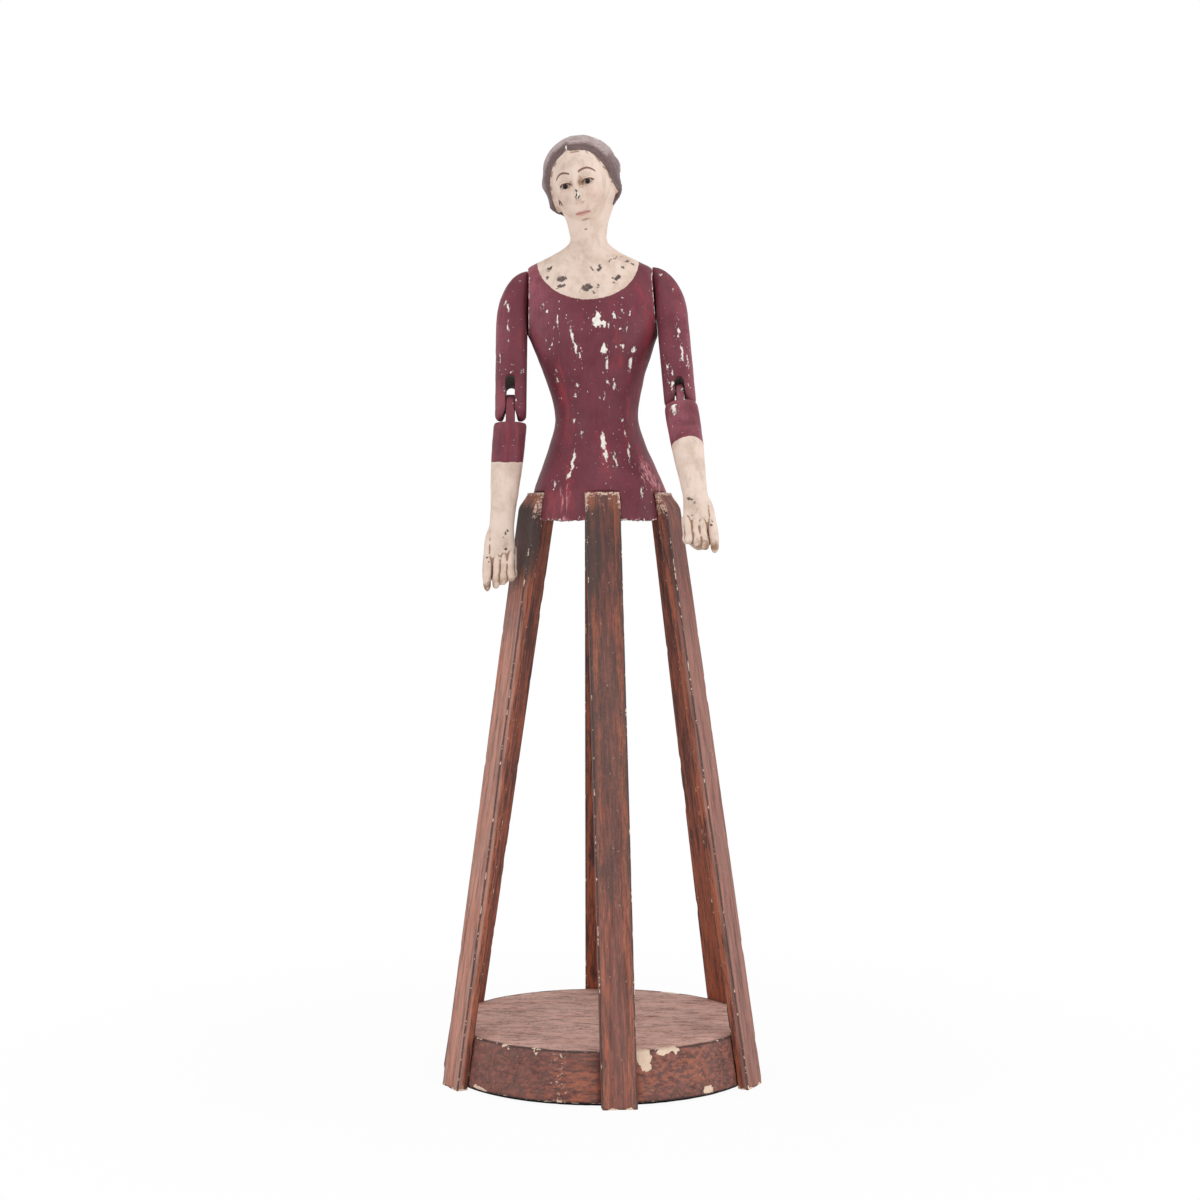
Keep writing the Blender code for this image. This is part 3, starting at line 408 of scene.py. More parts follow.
def rolled(sides, rows, place):
    """A grid rolled into a closed tube; place gives points from the turns and the row numbers."""
    bm = bmesh.new()
    bmesh.ops.create_grid(bm, x_segments=sides, y_segments=rows - 1, size=1)
    flat = points_of(bm)
    turns = (flat[:, 0] + 1) * math.pi
    row = np.rint((flat[:, 1] + 1) / 2 * (rows - 1)).astype(int)
    move_to(bm, place(turns, row))
    bmesh.ops.remove_doubles(bm, verts=bm.verts, dist=MERGE_DISTANCE)
    rim = [edge for edge in bm.edges if edge.is_boundary]
    bmesh.ops.holes_fill(bm, edges=rim, sides=sides)
    bmesh.ops.recalc_face_normals(bm, faces=bm.faces)
    return bm


def oval(turns, half_x, half_y, power=2.0):
    """Offsets round an oval; a power over 2 makes it squarer."""
    across, along = np.cos(turns), np.sin(turns)
    across = np.sign(across) * np.abs(across) ** (2 / power)
    along = np.sign(along) * np.abs(along) ** (2 / power)
    return half_x * across, half_y * along


def ball(radii, centre, sides):
    bm = bmesh.new()
    bmesh.ops.create_uvsphere(bm, u_segments=sides, v_segments=sides * 2 // 3, radius=1)
    bmesh.ops.scale(bm, vec=radii, verts=bm.verts)
    bmesh.ops.translate(bm, vec=centre, verts=bm.verts)
    return bm


def rod(start, end, radius, sides=32):
    bm = bmesh.new()
    axis = Vector(end) - Vector(start)
    bmesh.ops.create_cone(
        bm, cap_ends=True, segments=sides, radius1=radius, radius2=radius, depth=axis.length
    )
    turn = axis.to_track_quat("Z", "Y").to_matrix().to_4x4()
    middle = (Vector(start) + Vector(end)) / 2
    bmesh.ops.transform(bm, matrix=Matrix.Translation(middle) @ turn, verts=bm.verts)
    return bm


def block(low, high):
    bm = bmesh.new()
    bmesh.ops.create_cube(bm, size=1)
    bmesh.ops.scale(bm, vec=Vector(high) - Vector(low), verts=bm.verts)
    bmesh.ops.translate(bm, vec=(Vector(high) + Vector(low)) / 2, verts=bm.verts)
    return bm


def joined(forms):
    """Overlapping forms in one bmesh."""
    whole = bmesh.new()
    for form in forms:
        mesh = bpy.data.meshes.new("form")
        form.to_mesh(mesh)
        form.free()
        whole.from_mesh(mesh)
        bpy.data.meshes.remove(mesh)
    return whole


def loose_object(bm):
    mesh = bpy.data.meshes.new("form")
    bm.to_mesh(mesh)
    bm.free()
    made = bpy.data.objects.new("form", mesh)
    bpy.context.scene.collection.objects.link(made)
    return made


def carved(bm, cuts_before, voxel, cuts_after):
    """One even skin over overlapping forms, with cutters taken out before or after the skin is made."""
    solid = loose_object(bm)
    tools = []

    def cut(cutter):
        tool = loose_object(cutter)
        tools.append(tool)
        modifier = solid.modifiers.new("cut", "BOOLEAN")
        modifier.operation, modifier.solver, modifier.object = "DIFFERENCE", "MANIFOLD", tool

    for cutter in cuts_before:
        cut(cutter)
    skin = solid.modifiers.new("skin", "REMESH")
    skin.mode, skin.voxel_size = "VOXEL", voxel
    for cutter in cuts_after:
        cut(cutter)
    bpy.context.view_layer.update()
    evaluated = solid.evaluated_get(bpy.context.evaluated_depsgraph_get())
    result = bmesh.new()
    result.from_mesh(evaluated.to_mesh())
    evaluated.to_mesh_clear()
    for loose in [solid] + tools:
        mesh = loose.data
        bpy.data.objects.remove(loose)
        bpy.data.meshes.remove(mesh)
    return result


def spots(x, z, listed):
    """How many millimetres points are inside the nearest of a list of oval spots; below 0 is outside."""
    inside = np.full(len(x), OUTSIDE)
    for spot in listed:
        lean = math.radians(spot.lean)
        dx, dz = x - spot.x, z - spot.z
        across = dx * math.cos(lean) + dz * math.sin(lean)
        along = dz * math.cos(lean) - dx * math.sin(lean)
        reach = np.hypot(across / spot.half_width, along / spot.half_height)
        inside = np.maximum(inside, (1 - reach) * min(spot.half_width, spot.half_height))
    return inside


def frayed(points, amount=1.0):
    """Places across and up, shaken so that the spots laid out on them have ragged edges."""
    x, _, z = points.T
    tear = 3.4
    return x + amount * lumps(points, tear, 5.3), z + 1.5 * amount * lumps(points, tear, 9.1)


def hollows(bm, rounds=2):
    """How hollow the surface is at every vertex, evened out with its neighbours; edges are below 0."""
    bm.verts.index_update()
    pairs = np.array([[vert.index for vert in edge.verts] for edge in bm.edges])
    first, second = pairs.T
    points, normals = points_of(bm), normals_of(bm)
    steps = points[second] - points[first]
    steps /= np.maximum(np.linalg.norm(steps, axis=1), 1e-6)[:, None]
    count = np.bincount(pairs.ravel(), minlength=len(points))
    bend = np.zeros(len(points))
    np.add.at(bend, first, (steps * normals[first]).sum(1))
    np.add.at(bend, second, -(steps * normals[second]).sum(1))
    bend /= np.maximum(count, 1)
    for _ in range(rounds):
        spread = bend.copy()
        np.add.at(spread, first, bend[second])
        np.add.at(spread, second, bend[first])
        bend = spread / (count + 1)
    return bend


def turned(degrees, axis):
    return Matrix.Rotation(math.radians(degrees), 4, axis)


def joint_frame(name, swing):
    """A joint's frame: X along its axis towards the figure's left, swung forward by degrees."""
    joint = next(item for item in frame["joints"] if item["name"] == name)
    across = -Vector(joint["axis"])
    along = Vector((0, 1, 0))
    level = Matrix((across, along, across.cross(along))).transposed().to_4x4()
    place = Matrix.Translation(Vector(joint["pos_m"]) / MM)
    return place @ level @ turned(-swing, "X")


def add_piece(name, bm, finish, nodes, body, marks=None, place=None):
    """Turns a bmesh into a piece that rides on a body and stands for CAD nodes.

    marks are values at its points, which its finish reads, and place moves it from its own frame.
    """
    bmesh.ops.transform(bm, matrix=TO_METRES @ (place or Matrix.Identity(4)), verts=bm.verts)
    mesh = bpy.data.meshes.new(name)
    bm.to_mesh(mesh)
    bm.free()
    for mark, values in (marks or {}).items():
        values = np.asarray(values, np.float32)
        kind, field = ("FLOAT", "value") if values.ndim == 1 else ("FLOAT_VECTOR", "vector")
        mesh.attributes.new(mark, kind, "POINT").data.foreach_set(field, values.ravel())
    mesh.shade_smooth()
    mesh.materials.append(finish)
    piece = bpy.data.objects.new(name, mesh)
    bpy.context.scene.collection.objects.link(piece)
    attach(piece, body)
    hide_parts(*nodes)
    return piece


# Finishes


class Signal:
    """A socket whose arithmetic adds Math nodes."""

    def __init__(self, nodes, socket):
        self.nodes, self.socket = nodes, socket

    def math(self, operation, first, second):
        return self.nodes.node("ShaderNodeMath", {"operation": operation}, {0: first, 1: second})

    def __add__(self, other):
        return self.math("ADD", self, other)

    def __sub__(self, other):
        return self.math("SUBTRACT", self, other)

    def __rsub__(self, other):
        return self.math("SUBTRACT", other, self)

    def __mul__(self, other):
        return self.math("MULTIPLY", self, other)

    __radd__ = __add__
    __rmul__ = __mul__


class Nodes:
    """The nodes of one material or world."""

    def __init__(self, tree):
        self.tree = tree

    def node(self, kind, settings=None, sockets=None, output=0):
        """Adds a node: its settings first, then the values or links of its sockets."""
        made = self.tree.nodes.new(kind)
        for name, value in (settings or {}).items():
            setattr(made, name, value)
        for name, value in (sockets or {}).items():
            if isinstance(value, Signal):
                self.tree.links.new(value.socket, made.inputs[name])
            else:
                made.inputs[name].default_value = value
        return Signal(self, made.outputs[output])

    def mark(self, name):
        """A value stored on the piece's own vertices."""
        return self.node("ShaderNodeAttribute", {"attribute_name": name}, output="Fac")

    def stretched(self, scale=(1, 1, 1)):
        """Places on the piece; a scale under 1 draws a pattern out along that axis."""
        place = self.node("ShaderNodeTexCoord", output="Object")
        return self.node("ShaderNodeMapping", None, {"Vector": place, "Scale": scale})

    def noise(self, size, vector, detail, rough):
        sockets = {"Vector": vector, "Scale": 1 / size, "Detail": detail, "Roughness": rough}
        return self.node("ShaderNodeTexNoise", None, sockets)

    def cracks(self, size, vector, wander, wander_size):
        """Distance to the edges of a net of cells whose edges wander."""
        shaken = self.node("ShaderNodeTexNoise", None, {"Vector": vector, "Scale": 1 / wander_size}, 1)
        sockets = {"Vector": self.mix(wander, vector, shaken), "Scale": 1 / size}
        return self.node("ShaderNodeTexVoronoi", {"feature": "DISTANCE_TO_EDGE"}, sockets)

    def step(self, value, low, high):
        """0 below low, 1 above high and smooth between."""
        settings = {"interpolation_type": "SMOOTHSTEP"}
        return self.node("ShaderNodeMapRange", settings, {"Value": value, "From Min": low, "From Max": high})

    def mix(self, mask, below, above):
        sockets = {"Factor": mask, 6: below, 7: above}
        return self.node("ShaderNodeMix", {"data_type": "RGBA"}, sockets, 2)

    def glazed(self, colour, *glazes):
        """A colour under thin glazes, each with its mask and its colour."""
        for mask, glaze in glazes:
            colour = self.mix(mask, colour, glaze)
        return colour

    def most(self, first, *others):
        for other in others:
            first = self.node("ShaderNodeMath", {"operation": "MAXIMUM"}, {0: first, 1: other})
        return first

    def over(self, below, above, mask):
        """One layer of paint over another where the mask is 1."""
        return Layer(
            self.mix(mask, below.colour, above.colour),
            below.rough + (above.rough - below.rough) * mask,
            below.height + (above.height - below.height) * mask,
        )


def new_finish(name):
    material = bpy.data.materials.new(name)
    material.use_nodes = True
    return material, Nodes(material.node_tree)


def apply_layer(material, nodes, layer, shine=0.25, coat=0.0):
    """Connects a layer's colour, roughness and height, which is in millimetres, to the shader."""
    shader = material.node_tree.nodes["Principled BSDF"]
    links = material.node_tree.links
    links.new(layer.colour.socket, shader.inputs["Base Color"])
    links.new(layer.rough.socket, shader.inputs["Roughness"])
    bump = nodes.node("ShaderNodeBump", None, {"Height": layer.height, "Distance": MM})
    links.new(bump.socket, shader.inputs["Normal"])
    shader.inputs["Specular IOR Level"].default_value = shine
    shader.inputs["Coat Weight"].default_value = coat
    return material


def tint(colour, factor, grey=0.0):
    """A colour made lighter or darker and greyer."""
    mean = sum(colour[:3]) / 3
    return tuple(min(1.0, factor * (part + (mean - part) * grey)) for part in colour[:3]) + (1,)


def wine_layer(nodes, colours):
    """Burgundy paint, dusty and painted with a pale sheen in places, and rubbed in upright streaks down to a
    brighter crimson.
    """
    wine, crimson = colours.wine, colours.crimson
    still, upright = nodes.stretched(), nodes.stretched((1, 1, 0.1))
    cloud = nodes.noise(0.02, still, 4, 0.6)
    streak = nodes.noise(0.0036, upright, 5, 0.72)
    fine = nodes.noise(0.0011, upright, 3, 0.6)
    chalk = nodes.noise(0.0016, upright, 4, 0.7)
    scuff = nodes.mark("scuff")
    rubbed = nodes.step(streak + 0.16 * nodes.mark("rub") + 0.25 * (cloud - 0.5), 0.54, 0.82)
    # The dust mark lightens the paint to a pale mauve: partly dust and partly painted sheen on the flanks and
    # outer sides
    dust_and_sheen = nodes.step(cloud + 0.3 * streak, 0.4, 0.85) * nodes.mark("dust")
    chalky = nodes.step(chalk + 0.2 * scuff, 0.62, 0.78) * scuff
    colour = nodes.glazed(
        nodes.mix(nodes.step(cloud, 0.36, 0.66), tint(wine, 0.92), tint(wine, 1.24, 0.1)),
        (rubbed * 0.8, tuple(crimson)),
        (nodes.step(fine, 0.58, 0.74) * 0.4, tint(wine, 2.0, 0.3)),
        (nodes.step(fine, 0.42, 0.28) * 0.45, tint(wine, 0.5)),
        (dust_and_sheen, tint(wine, 2.6, 0.25)),
        (chalky * 0.9, tint(crimson, 3.0, 0.55)),
    )
    return Layer(colour, 0.44 + 0.16 * cloud, 0.1 * streak + 0.1 * fine)


def flesh_layer(nodes, colours):
    """Cream flesh paint with a fine net of cracks, and brown grime and painted shade in the hollows."""
    flesh = colours.flesh
    still = nodes.stretched()
    cloud = nodes.noise(0.013, still, 5, 0.62)
    grain = nodes.noise(0.0011, still, 3, 0.6)
    stain = nodes.noise(0.005, nodes.stretched((1, 1, 0.25)), 4, 0.65)
    net = nodes.cracks(0.0021, still, 0.0016, 0.0011)
    cracked = nodes.step(net, 0.06, 0.0) * nodes.step(cloud, 0.46, 0.62)
    # Brown grime, together with painted shade in the hollows and creases, where the mark is high
    grime_and_shade = nodes.step(nodes.mark("grime_and_shade") + (grain - 0.5) * 0.5 + (cloud - 0.5) * 0.3, 0.12, 0.9)
    colour = nodes.glazed(
        nodes.mix(nodes.step(cloud, 0.38, 0.68), tint(flesh, 1.08), tint(flesh, 0.9, -0.24)),
        (nodes.step(stain, 0.5, 0.75) * 0.6, tint(flesh, 0.7, -0.3)),
        (cracked * 0.3, tint(flesh, 0.48, -0.2)),
        (nodes.step(grain, 0.63, 0.78) * 0.3, tint(flesh, 0.62, -0.15)),
        (grime_and_shade * 0.85, tuple(colours.grime_and_shade)),
    )
    return Layer(colour, 0.5 + 0.16 * cloud, 0.06 * grain - 0.05 * cracked)


def gesso_layer(nodes, colours):
    """The chalky ground that shows where paint has flaked."""
    cloud = nodes.noise(0.0035, nodes.stretched(), 4, 0.6)
    colour = nodes.mix(nodes.step(cloud, 0.35, 0.7), tuple(colours.gesso), tint(colours.gesso, 0.84, -0.12))
    return Layer(colour, 0.7 + 0.1 * cloud, 0.12 * cloud - 0.2)


def bare_patch_layer(nodes, colours):
    """Grey-brown wood under the flesh paint."""
    grain = nodes.noise(0.0016, nodes.stretched(), 4, 0.6)
    bare = colours.bare
    colour = nodes.mix(nodes.step(grain, 0.35, 0.65), tint(bare, 0.7), tint(bare, 1.4))
    return Layer(colour, 0.7 + 0.1 * grain, 0.15 * grain - 0.25)


def painted_wood_finish(name, colours):
    """Bodice, sleeves and skin, told apart by the piece's marks, with ragged flakes through to the ground."""
    material, nodes = new_finish(name)
    still, upright = nodes.stretched(), nodes.stretched((1, 1, 0.45))
    ragged = nodes.noise(0.0015, upright, 5, 0.75) - 0.5
    broken = nodes.noise(0.0021, still, 4, 0.7) - 0.5
    fleck = nodes.noise(0.0012, upright, 2, 0.5)
    skin = nodes.step(nodes.mark("skin") + broken * 1.5, -0.12, 0.12)
    paint = nodes.over(wine_layer(nodes, colours), flesh_layer(nodes, colours), skin)
    flakes = nodes.mark("flake")
    flaked = nodes.step(flakes + ragged * 4.2, 0.22, 0.34)
    specks = nodes.step(fleck + 0.045 * nodes.step(flakes, -5.0, -0.5), 0.735, 0.755)
    edge = nodes.step(nodes.mark("worn") + ragged * 2.0, 0.62, 0.74)
    ground = nodes.most(flaked, specks, edge) * (1 - skin)
    paint = nodes.over(paint, gesso_layer(nodes, colours), ground)
    bare = nodes.step(nodes.mark("bare") + broken * 4.4, -0.06, 0.08)
    pits = nodes.step(nodes.noise(0.004, still, 4, 0.6), 0.745, 0.76) * skin
    paint = nodes.over(paint, bare_patch_layer(nodes, colours), nodes.most(bare, pits))
    return apply_layer(material, nodes, paint, 0.3)


def head_finish(name, colours):
    """Flesh, hair with a painted sheen on its crown, lips, brows, and grime with painted shade on the head.
    """
    material, nodes = new_finish(name)
    still = nodes.stretched()
    ragged = nodes.noise(0.0014, still, 4, 0.6) - 0.5
    lips = nodes.step(nodes.mark("lips") + ragged * 0.8, -0.1, 0.5)
    line = nodes.step(nodes.mark("line") + ragged * 0.5, 0.2, 0.75)
    flesh = flesh_layer(nodes, colours)
    painted = nodes.glazed(
        flesh.colour,
        (lips * 0.9, tuple(colours.lip)),
        (nodes.mark("blush") * 0.16, tint(colours.lip, 1.1)),
        (line * 0.92, tuple(colours.brow)),
    )
    face = Layer(painted, flesh.rough, flesh.height)
    strand = nodes.noise(0.0014, nodes.stretched((0.3, 1, 1)), 4, 0.6)
    tone = nodes.noise(0.009, still, 4, 0.6)
    # The crown mark paints a pale grey sheen on the top of the hair, with some dust
    crown = nodes.step(nodes.mark("crown") + (tone - 0.5) * 0.8, 0.1, 0.9)
    # Painted sheen, with some dust, broken by the strands
    crown_dust_and_sheen = crown * (0.5 + 0.4 * nodes.step(strand, 0.38, 0.62))
    shade = nodes.mix(nodes.step(strand, 0.35, 0.7), tint(colours.hair, 0.82), tint(colours.hair, 1.2, 0.1))
    shade = nodes.mix(crown_dust_and_sheen, shade, tint(colours.hair, 4.4, 0.5))
    hair = Layer(shade, 0.42 + 0.14 * tone, 0.08 * strand)
    hairline = nodes.step(nodes.mark("hair") + ragged * 0.6, -0.15, 0.15)
    flake = nodes.step(nodes.mark("flake") + ragged * 2.0, -0.08, 0.08)
    bare = nodes.step(nodes.mark("bare") + ragged * 1.5, -0.08, 0.08)
    whole = nodes.over(face, hair, hairline)
    whole = nodes.over(whole, gesso_layer(nodes, colours), flake)
    whole = nodes.over(whole, bare_patch_layer(nodes, colours), bare)
    return apply_layer(material, nodes, whole)


def stain_layer(nodes, colours, board):
    """Dark red-brown stain over fine grain, thin and orange in streaks along the board."""
    stain = colours.stain
    patch = nodes.noise(0.03, board, 4, 0.6)
    streak = nodes.noise(0.0026, board, 6, 0.78)
    fine = nodes.noise(0.0006, board, 3, 0.65)
    scuff = nodes.noise(0.003, nodes.stretched(), 4, 0.65)
    thin = nodes.step(streak + 0.6 * patch + 0.3 * nodes.mark("thin"), 0.79, 0.96)
    colour = nodes.glazed(
        nodes.mix(nodes.step(streak, 0.36, 0.64), tint(stain, 0.4), tint(stain, 1.4)),
        (thin * 0.9, tuple(colours.rubbed)),
        (nodes.step(fine, 0.47, 0.32) * 0.7, tint(stain, 0.3)),
        (nodes.step(fine, 0.56, 0.7) * 0.4, tint(stain, 2.1, 0.15)),
        (nodes.step(scuff, 0.64, 0.72) * 0.3, tint(stain, 2.6, 0.25)),
    )
    return Layer(colour, 0.5 + 0.2 * scuff, 0.14 * streak + 0.16 * fine)


def stained_finish(name, colours, crackle=0.0, chalky=-0.1):
    """Stained wood with soot, pale dust and painted sheen, dark arrises, pale nicks and chips.

    crackle is how dark a net of fine cracks is, and chalky is how grey the dust and painted sheen are.
    """
    material, nodes = new_finish(name)
    still = nodes.stretched()
    board = nodes.node("ShaderNodeAttribute", {"attribute_name": "board"}, output="Vector")
    ragged = nodes.noise(0.0024, still, 5, 0.65) - 0.5
    dust = nodes.noise(0.012, board, 5, 0.65)
    haze = nodes.noise(0.0045, board, 6, 0.8)
    char = nodes.noise(0.0022, board, 5, 0.75) - 0.5
    chalk = nodes.noise(0.0013, still, 4, 0.7)
    arris = nodes.mark("arris")
    # Pale dust and painted sheen where the bloom mark is high
    bloom = nodes.mark("bloom") * nodes.step(haze, 0.27, 0.6)
    soot = nodes.step(nodes.mark("soot") + ragged * 0.8 + char * 1.1 + (dust - 0.5) * 0.9, 0.05, 1.1)
    dark_arris = nodes.step(arris + ragged * 1.2, 1.3, 0.5)
    pale = nodes.step(nodes.mark("pale") + ragged * 3.0, 0.4, 0.75)
    worn = nodes.mix(nodes.step(chalk, 0.44, 0.56), tint(colours.stain, 1.6), tint(colours.chip, 1.05, 0.15))
    stain = stain_layer(nodes, colours, board)
    colour = nodes.glazed(
        stain.colour,
        (bloom, tint(colours.bloom, 1.8, chalky)),
        (soot * 0.9, tuple(colours.soot)),
        (dark_arris * 0.85, tuple(colours.soot)),
        (pale * 0.85, worn),
    )
    height = stain.height
    if crackle:
        net = nodes.cracks(0.0028, still, 0.004, 0.0025)
        crack = nodes.step(net, 0.06, 0.0) * nodes.step(dust, 0.46, 0.62)
        colour = nodes.mix(crack * crackle, colour, tuple(colours.soot))
        height = height - 0.25 * crack
    whole = Layer(colour, stain.rough + 0.15 * bloom, height)
    nick = nodes.step(nodes.noise(0.006, still, 4, 0.7), 0.57, 0.6)
    nick = nick * nodes.step(arris + ragged * 2.0, 0.6, 0.35)
    chip = nodes.step(nodes.mark("flake") + ragged * 2.4, -0.1, 0.1)
    bared = nodes.mix(chalk, tint(colours.chip, 0.8), tint(colours.chip, 1.2))
    ground = Layer(bared, 0.7 + 0.1 * chalk, -0.2 + 0.1 * chalk)
    return apply_layer(material, nodes, nodes.over(whole, ground, nodes.most(nick, chip)), 0.45)


def bare_wood_finish(name, colours):
    """Whittled pegs and pins."""
    material, nodes = new_finish(name)
    grain = nodes.noise(0.002, nodes.stretched((0.2, 1, 1)), 5, 0.6)
    colour = nodes.mix(nodes.step(grain, 0.35, 0.65), tint(colours.wood, 0.7), tint(colours.wood, 1.2))
    return apply_layer(material, nodes, Layer(colour, 0.6 + 0.15 * grain, 0.1 * grain))


def felt_finish(name, colours):
    material, nodes = new_finish(name)
    fluff = nodes.noise(0.0007, nodes.stretched(), 4, 0.7)
    colour = nodes.mix(fluff, tint(colours.felt, 0.6), tint(colours.felt, 2.2))
    return apply_layer(material, nodes, Layer(colour, 0.9 + 0.08 * fluff, 0.4 * fluff))


def glass_eye_finish(name, colours):
    """A dark iris and pupil on an off-white ball under a clear polish; gaze is the distance from the axis."""
    material, nodes = new_finish(name)
    gaze, soft = nodes.mark("gaze"), 0.1
    in_iris = nodes.step(gaze, IRIS_RADIUS + soft, IRIS_RADIUS - soft)
    in_pupil = nodes.step(gaze, PUPIL_RADIUS + soft, PUPIL_RADIUS - soft)
    ray = nodes.noise(0.0004, nodes.stretched(), 3, 0.6)
    white = nodes.mix(ray, tint(colours.flesh, 0.75, 0.3), tint(colours.flesh, 0.95, 0.3))
    iris = nodes.mix(ray, tint(colours.iris, 0.7), tint(colours.iris, 1.6))
    colour = nodes.glazed(white, (in_iris, iris), (in_pupil, tint(colours.iris, 0.12)))
    return apply_layer(material, nodes, Layer(colour, 0.05 + 0.04 * ray, 0.01 * ray), 0.15, 0.1)


# Pieces


def slat_axes(bearings):
    """A slat's outward and sideways directions and its sideways drift per height."""
    foot, top = (math.radians(bearing) for bearing in bearings)
    outward = np.array((math.sin(foot), -math.cos(foot), 0))
    sideways = np.array((math.cos(foot), math.sin(foot), 0))
    top_point = np.array((math.sin(top), -math.cos(top), 0)) * HEM_SEAT
    return outward, sideways, top_point @ sideways / (HEM_HEIGHT - BASE_BOTTOM)


def seat_radius(z):
    return FOOT_SEAT - (z - BASE_BOTTOM) * SLAT_SLOPE


def press_housings(points):
    """Presses the slats' housings into a surface."""
    for bearings in SLAT_BEARINGS.values():
        outward, sideways, drift = slat_axes(bearings)
        z = points[:, 2]
        across = points @ sideways - drift * (z - BASE_BOTTOM)
        proud = points @ outward - seat_radius(z) + GAP
        inside = (np.abs(across) < SLAT_WIDTH / 2 + GAP) & (proud > 0) & (z < SLAT_TOP + 2 * GAP)
        points = points - np.where(inside, proud, 0)[:, None] * outward
    return points


def ring_points(turns, radius, height):
    """Points on level rings, counted from the front towards the figure's left."""
    return np.stack((radius * np.sin(turns), -radius * np.cos(turns), height), 1)


def board_rows():
    """Radii and heights of the board's underside, sloped rim and top, with the rim's edges rounded."""
    inset, rounding = 1.2, 0.7
    z = np.linspace(BASE_BOTTOM, BASE_TOP, 26)
    edges = np.exp(-(z - BASE_BOTTOM) / rounding) + np.exp(-(BASE_TOP - z) / rounding)
    rim = BASE_RADIUS - (z - BASE_BOTTOM) * SLAT_SLOPE
    rim = rim - inset * edges
    under, over = np.linspace(2, rim[0] - 1, 8), np.linspace(rim[-1] - 0.8, 1.5, 40)
    heights = (np.full(len(under), BASE_BOTTOM), z, np.full(len(over), BASE_TOP))
    return np.concatenate((under, rim, over)), np.concatenate(heights)


def build_board(colours):
    """The round board with its worn rim, and its top lightened with dust and painted sheen."""
    radii, heights = board_rows()
    bm = rolled(360, len(radii), lambda turns, row: ring_points(turns, radii[row], heights[row]))
    points = points_of(bm)
    x, y, z = points.T
    out = np.hypot(x, y)
    inward = np.maximum(seat_radius(z) - out, 0)
    on_top = (z > BASE_TOP - 0.1) & (inward > 0.5)
    arris = np.minimum(BASE_TOP - z, z - BASE_BOTTOM) + np.where(on_top, inward, 0)
    bearing = np.degrees(np.arctan2(x, -y))
    arc = math.radians(1) * BASE_RADIUS
    chips = [Spot(chip.x * arc, *chip[1:]) for chip in RIM_CHIPS]
    along = np.where(bearing < -90, bearing + 360, bearing) * arc
    folded = z - 0.7 * np.where(on_top, inward, 0)
    flake = spots(*frayed(np.stack((along, 0 * z, folded), 1), 1.9), chips)
    flake = np.where(inward < 5, flake, OUTSIDE)
    rough = lumps(points, 8, 3.1)
    knock = peak(arris, 1.2) * between(lumps(points, 12, 8.2), -0.1, 0.6)
    dent = 0.5 * knock + 0.6 * between(flake, -0.2, 0.8)
    points[:, :2] *= (1 - (dent + 0.16 * rough * (inward < 1)) / np.maximum(out, 10))[:, None]
    grain = lumps(points * (0.2, 1, 1), 5, 6.6)
    points[:, 2] += np.where(on_top, 0.3 * rough + 0.35 * grain - 0.3 * knock, 0)
    move_to(bm, press_housings(points))
    top = np.where(on_top, between(inward, 0.3, 2.5), 0.0)
    scuffed = peak(bearing + 15, 3) * ~on_top
    marks = {
        "arris": np.where(on_top, arris + 0.7, arris),
        "flake": flake,
        # The top is lightened with dust and painted sheen
        "bloom": 0.08 + 0.8 * top,
        "soot": np.where(on_top, 0.1 * lumps(points, 25, 1.9), 0.12 * lumps(points, 18, 2.7)),
        "pale": 0.4 * top * between(lumps(points * (0.3, 1, 1), 16, 4.9), 0.2, 0.6) + 0.3 * scuffed,
        "thin": np.where(on_top, 0.15, -0.18) + 0.4 * peak(bearing - 12, 3),
        "board": points * np.where(on_top, 0.4, 0.22)[:, None] ** np.array((1, 0, 0)) * MM,
    }
    finish = stained_finish("stained_board", colours, 0.7, 0.15)
    add_piece("worn_base_board", bm, finish, ["base_board"], "figure", marks)


def build_felt(colours):
    """The felt pad, with its edge rounded over."""
    edge = np.array([0.1, 0.5, 0.9, 0.98, 1, 1, 0.98, 0.9, 0.5, 0.1]) * FELT_RADIUS
    level = np.array([0, 0, 0, 0.12, 0.35, 0.7, 0.92, 1, 1, 1]) * FELT_THICKNESS
    felt = rolled(200, len(edge), lambda turns, row: ring_points(turns, edge[row], level[row]))
    points = points_of(felt)
    points[:, :2] *= (1 + 0.004 * lumps(points, 6, 5.5))[:, None]
    move_to(felt, points)
    finish = felt_finish("black_felt", colours)
    pad = add_piece("felt_disc", felt, finish, ["felt_pad"], "figure")


def slat_section():
    """Points round a slat's section, close together by its corners; y is 0 on the inner face."""
    close = np.array([0, 0.3, 0.6, 1.0, 1.6, 2.6])
    wide = np.concatenate((close, np.linspace(4, SLAT_WIDTH - 4, 7), SLAT_WIDTH - close[:0:-1]))
    deep = np.concatenate((close, [SLAT_THICKNESS / 2], SLAT_THICKNESS - close[:0:-1]))
    half = SLAT_WIDTH / 2
    runs = [
        (wide - half, 0 * wide),
        (0 * deep + half, deep),
        (half - wide, 0 * wide + SLAT_THICKNESS),
        (0 * deep - half, SLAT_THICKNESS - deep),
    ]
    return np.concatenate([np.stack(run, 1) for run in runs])


